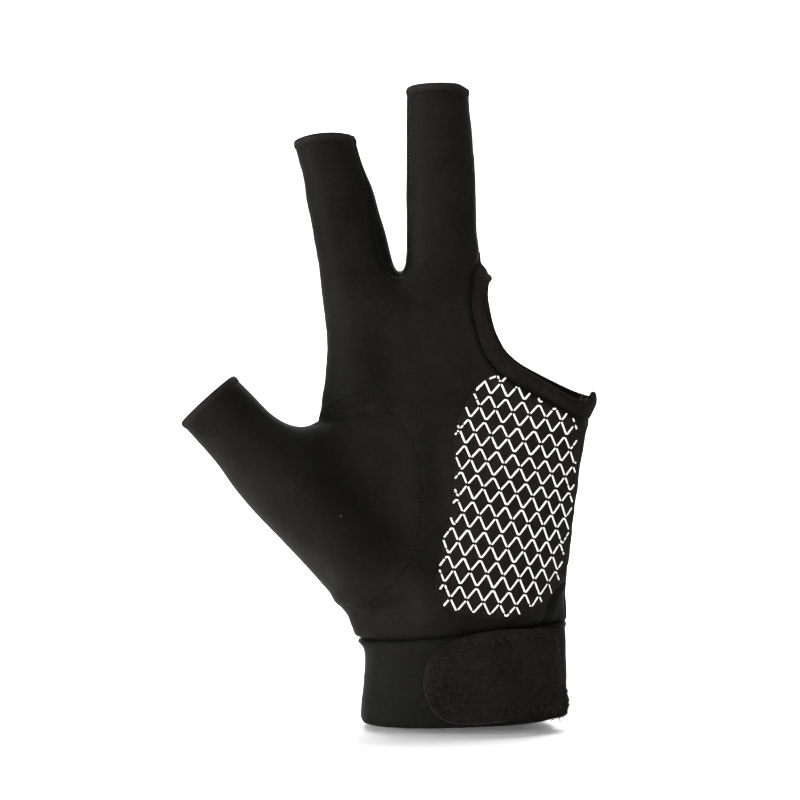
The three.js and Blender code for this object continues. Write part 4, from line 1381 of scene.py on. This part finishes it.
def print_strokes():
    strokes = []
    for n, (left, level, fall) in enumerate(PRINT_ROWS):
        above = level - PRINT_ROWS[n - 1][1] if n else OVER_FIRST_ROW
        below = PRINT_ROWS[n + 1][1] - level if n + 1 < len(PRINT_ROWS) else UNDER_LAST_ROW
        corners = [
            np.array([left + across, level + fall * (FIRST_COLUMN + column)])
            for column, across in enumerate(PRINT_ACROSS)
        ]
        for start, end in zip(corners[:-1], corners[1:]):
            top = start + PEAK_PLACE * (end - start) - np.array([0, PEAK_SHARE * above])
            bottom = start + DIP_PLACE * (end - start) + np.array([0, DIP_SHARE * below])
            for line in (bent(start, top, end, PEAK_BLUNT), bent(start, bottom, end, DIP_BLUNT)):
                line = resampled(line, STROKE_STEP)
                cut_first, cut_last = rng.integers(*END_CUTS, 2)
                strokes.append(line[cut_first : len(line) - cut_last])
    return strokes


def broken(line, keep, near_border):
    """Splits a stroke into the runs that are kept, and near the border into dashes."""
    runs, run = [], []
    left = rng.integers(*DASH_STEPS)
    for place, kept, border in zip(line, keep, near_border):
        left -= 1
        if left < -DASH_GAP:
            left = rng.integers(*DASH_STEPS)
        if kept and not (border and left < 0):
            run.append(place)
            continue
        runs.append(run)
        run = []
    return [np.array(run) for run in [*runs, run] if len(run) > SHORTEST_DASH]


strokes = print_strokes()
whole = len(strokes)
strokes += [resampled(np.array(line), STROKE_STEP) for line in BORDER_LINES]
joined = np.vstack(strokes)
hit, hit_normals = from_frame(joined, PATCH_HIGH)
inset = -signed_distance(joined, PRINT_AREA)
hit = hit + hit_normals * (cloth_relief(hit)[0] + 0.5 * edge_relief(hit)[0])[:, None]
threads = []
at = 0
for n, line in enumerate(strokes):
    own = slice(at, at + len(line))
    at += len(line)
    kept = (inset[own] > 0) | (n >= whole)
    border = (inset[own] < BORDER) & (n < whole)
    for run in broken(np.arange(own.start, own.stop), kept, border):
        from_end = np.minimum(np.arange(len(run)), np.arange(len(run))[::-1])
        run = run[(from_end < ROUND_STEPS) | (from_end % 2 == 0)]
        wide = STROKE_HALF * rng.uniform(0.93, 1.07)
        ends = rounded_ends(walked_along(hit[run]), wide)
        threads.append((hit[run], hit_normals[run], wide * ends, STROKE_HIGH * np.maximum(ends, 0.3)))
add_threads("grip_print", threads, PRINT, "print", "grip_lattice")

# Stitches of the tab, and a painted highlight along its lower-left edge

STITCH_STEP = 0.4


def dashes(line, length, space, half, height, lay):
    """Short stitches along a line in the frame's pixels, laid on a face."""
    line = resampled(line, STITCH_STEP)
    walked = np.arange(len(line)) * STITCH_STEP * PIXEL
    place, normal = lay(line)
    found = []
    start = 0.0
    while start + length < walked[-1]:
        own_length = length * rng.uniform(0.85, 1.1)
        chosen = (walked >= start) & (walked <= start + own_length)
        start += own_length + space * rng.uniform(0.8, 1.25)
        if chosen.sum() < 3:
            continue
        path, up = place[chosen], normal[chosen]
        ends = np.sqrt(np.clip(1 - np.linspace(-1, 1, len(path)) ** 2, 0.05, 1))
        sag = (1 - ends)[:, None] * up * 0.18
        found.append((path - sag, up, half * np.maximum(ends, 0.35), height * np.maximum(ends, 0.35)))
    return found


threads = dashes(np.vstack([STITCH_LINE, STITCH_LINE[:1]]), 0.9, 1.35, 0.15, 0.16, lay_on_tab)
# A pale thread along the tab's lower-left edge: a painted highlight where its rim catches the light
place, normal = lay_on_tab(resampled(smooth_line(TAB_EDGE, 3.0), 1.0))
thin = 0.11 + 0.02 * np.sin(np.arange(len(place)) * 1.7)
threads.append((place, normal, thin, thin))
add_threads("tab_stitches", threads, PALE_THREAD, "tab", sides=6)

# Stitches that show along the seams of the panels


def seam_stitches(panel, chosen, pitch, across, arch):
    """Short threads across a seam, one every pitch along the border of a panel."""
    points, relief, triangles = borders[panel]
    normals = normals_at(points)
    t = np.linspace(-1, 1, 7)
    ends = np.sqrt(np.clip(1 - t**2, 0.08, 1))
    found = []
    for loop in border_loops(triangles):
        line = np.append(loop, loop[0])
        place = points[line] + normals[line] * relief[line][:, None]
        walked = walked_along(place)
        wanted = np.arange(0, walked[-1], pitch)
        if len(wanted) < 4:
            continue
        spots, base, up = [at_lengths(wanted, walked, v) for v in (place, points[line], normals[line])]
        up = unit(up)
        run = unit(np.gradient(spots, axis=0))
        side = unit(np.cross(run, up))
        for n in np.flatnonzero(chosen(base)):
            path = spots[n] + (side[n] + 0.35 * run[n]) * (t * across)[:, None]
            path = path + up[n] * arch * (1 - t**2)[:, None]
            found.append((path, np.repeat(up[n][None], 7, axis=0), 0.13 * ends, 0.11 * ends))
    return found


def on_side_seam(p):
    below_hems = np.max([stall_height(p, n) for n in STALLS], axis=0) < -HEM_HEIGHT - 0.4
    clear = (cuff_height(p) > 0.6) & (past_band(p) > 0.6) & (thumb_side(p) < -0.4)
    return (np.abs(front_seam(p)) < 0.2) & below_hems & clear


def on_thumb_seam(p):
    return (np.abs(thumb_side(p)) < 0.2) & (cuff_height(p) > 0.6)


threads = seam_stitches("palm_panel", on_side_seam, 1.15, 0.42, 0.18)
threads += seam_stitches("thumb_panel", on_thumb_seam, 1.3, 0.34, 0.02)
add_threads("seam_stitches", threads, THREAD, "knit", sides=6)

# Loose fibres at worn corners, one loose thread on the binding and one pale bit of lint on the thumb panel


def fibres(places, radius, count, length, lay, over, wide=0.035):
    """Short curved fibres round places in the frame's pixels, but for those whose place misses the cloth."""
    found = []
    for centre in places:
        spots = np.array(centre) + rng.normal(size=(count, 2)) * radius
        met = np.abs(cloth_distance(from_frame(spots, over)[0]) - over) < 0.05
        for start, normal in zip(*lay(spots[met])):
            way = unit((normal * 0.9 + rng.normal(size=3) * 0.6)[None])[0]
            bend = rng.normal(size=3) * 0.5
            own = length * rng.uniform(0.4, 1.2)
            t = np.linspace(0, 1, 6)[:, None]
            path = start + way * own * t + bend * own * 0.5 * t**2
            thin = wide * (1 - 0.7 * t[:, 0])
            found.append((path, np.repeat(normal[None], 6, axis=0), thin, thin))
    return found


def lay_on_cloth(places):
    return from_frame(places, 0.1)


threads = fibres(TAB_CORNER, 1.8, 110, 0.7, lay_on_tab, TAB_OVER, 0.07)
threads += fibres([(409, 90), (409, 97), (410, 102)], 1.0, 14, 0.7, lay_on_cloth, 0.1)
threads += fibres([(296, 145), (356, 138), (183, 424), (237, 381)], 1.0, 12, 0.6, lay_on_cloth, 0.1)
add_threads("loose_fibres", threads, THREAD, "hem", sides=3, sink=0)

loose = np.array([(580.0, 400.5), (580.6, 397.5), (581.6, 394.0)])
place, normal = from_frame(resampled(loose, 0.6), 0.55)
lift = np.linspace(0, 1, len(place))[:, None] ** 2
half = np.linspace(0.2, 0.14, len(place))
add_threads("loose_thread", [(place + normal * 0.9 * lift, normal, half, half)], THREAD, "binding", sink=0)

place, normal = from_frame(np.array([(339.8, 516.4), (340.1, 516.9), (340.3, 517.4)]), 0.0)
place += normal * (cloth_relief(place)[0] + 0.08)[:, None]
half = np.array([0.08, 0.13, 0.09])
add_threads("lint_speck", [(place, normal, half, half)], LINT, "knit", sink=0)

# Sheets of cloth with their flat sizes and areas in metres; the loop does nothing with them

for name, flat, area in [
    ("palm_panel", (0.085, 0.185), 0.0094),
    ("back_panel", (0.110, 0.185), 0.0120),
    ("thumb_panel", (0.080, 0.100), 0.0060),
    ("finger_gusset", (0.020, 0.100), 0.00085),
    ("wrist_band", (0.146, 0.0245), 0.0035),
    ("closure_tab", (0.044, 0.0252), 0.00095),
    ("grip_patch", (0.045, 0.066), 0.0020),
]:
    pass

# Stage, light and camera, in metres

FLOOR_Z = -0.003
FLOOR_FRONT = -8.0
FLOOR_SIDE = 8.0
CURVE_FROM = 1.0
CURVE_RADIUS = 0.8
WALL_TOP = 3.2
STAGE_STOPS = [(0.3, (0.90, 0.90, 0.90)), (0.7, (0.92, 0.92, 0.92))]


def backdrop():
    """A floor that curves up into a wall behind the glove."""
    turn = np.linspace(0, math.pi / 2, 24)
    profile = [(FLOOR_FRONT, FLOOR_Z)]
    profile += [
        (CURVE_FROM + CURVE_RADIUS * math.sin(a), FLOOR_Z + CURVE_RADIUS * (1 - math.cos(a))) for a in turn
    ]
    profile += [(CURVE_FROM + CURVE_RADIUS, WALL_TOP)]
    profile = np.array(profile)
    n = len(profile)
    left = np.column_stack([np.full(n, -FLOOR_SIDE), profile]) / MM
    a, b = np.arange(n - 1), np.arange(n - 1) + n
    faces = np.concatenate([np.stack([a, b, b + 1], axis=1), np.stack([a, b + 1, a + 1], axis=1)])
    material = grained("stage_pale", EVEN, 9.0, 2.0, STAGE_STOPS, 0.9, 0.1)
    made = add_mesh("floor", np.vstack([left, left * np.array([-1, 1, 1])]), faces, material)


backdrop()


def area_light(name, place, target, size, energy):
    light = bpy.data.lights.new(name, "AREA")
    light.shape = "SQUARE"
    light.size = size
    light.energy = energy
    made = bpy.data.objects.new(name, light)
    made.location = place
    made.rotation_euler = (Vector(target) - Vector(place)).to_track_quat("-Z", "Y").to_euler()
    bpy.context.scene.collection.objects.link(made)


MIDDLE_OF_GLOVE = (-0.015, 0.0, 0.09)
area_light("key", (-0.75, -0.95, 0.45), MIDDLE_OF_GLOVE, 0.7, 3.2)
area_light("low_left", (-0.78, -0.30, 0.04), MIDDLE_OF_GLOVE, 0.35, 14)
area_light("low_front", (-0.30, -0.90, 0.04), MIDDLE_OF_GLOVE, 0.4, 4)
area_light("fill", (0.9, -0.8, 0.5), MIDDLE_OF_GLOVE, 1.2, 3)
area_light("top", (0.1, 0.05, 1.3), MIDDLE_OF_GLOVE, 1.2, 4)
area_light("behind", (0.0, 0.7, 1.5), (0.0, 1.7, 0.3), 1.6, 70)

world = bpy.data.worlds.new("studio")
world.use_nodes = True
background = world.node_tree.nodes["Background"].inputs
background["Color"].default_value = (1, 1, 1, 1)
background["Strength"].default_value = 0.42
bpy.context.scene.world = world
bpy.context.scene.view_settings.view_transform = "Standard"

camera = bpy.data.cameras.new("camera")
camera.sensor_width = 36.0
camera.lens = camera.sensor_width * VIEW_DISTANCE / (FRAME_PIXELS * PIXEL)
camera.clip_start = 0.01
camera.clip_end = 20.0
viewer = bpy.data.objects.new("camera", camera)
viewer.location = VIEW_FROM * MM
viewer.rotation_euler = (math.pi / 2, 0, 0)
bpy.context.scene.collection.objects.link(viewer)
bpy.context.scene.camera = viewer
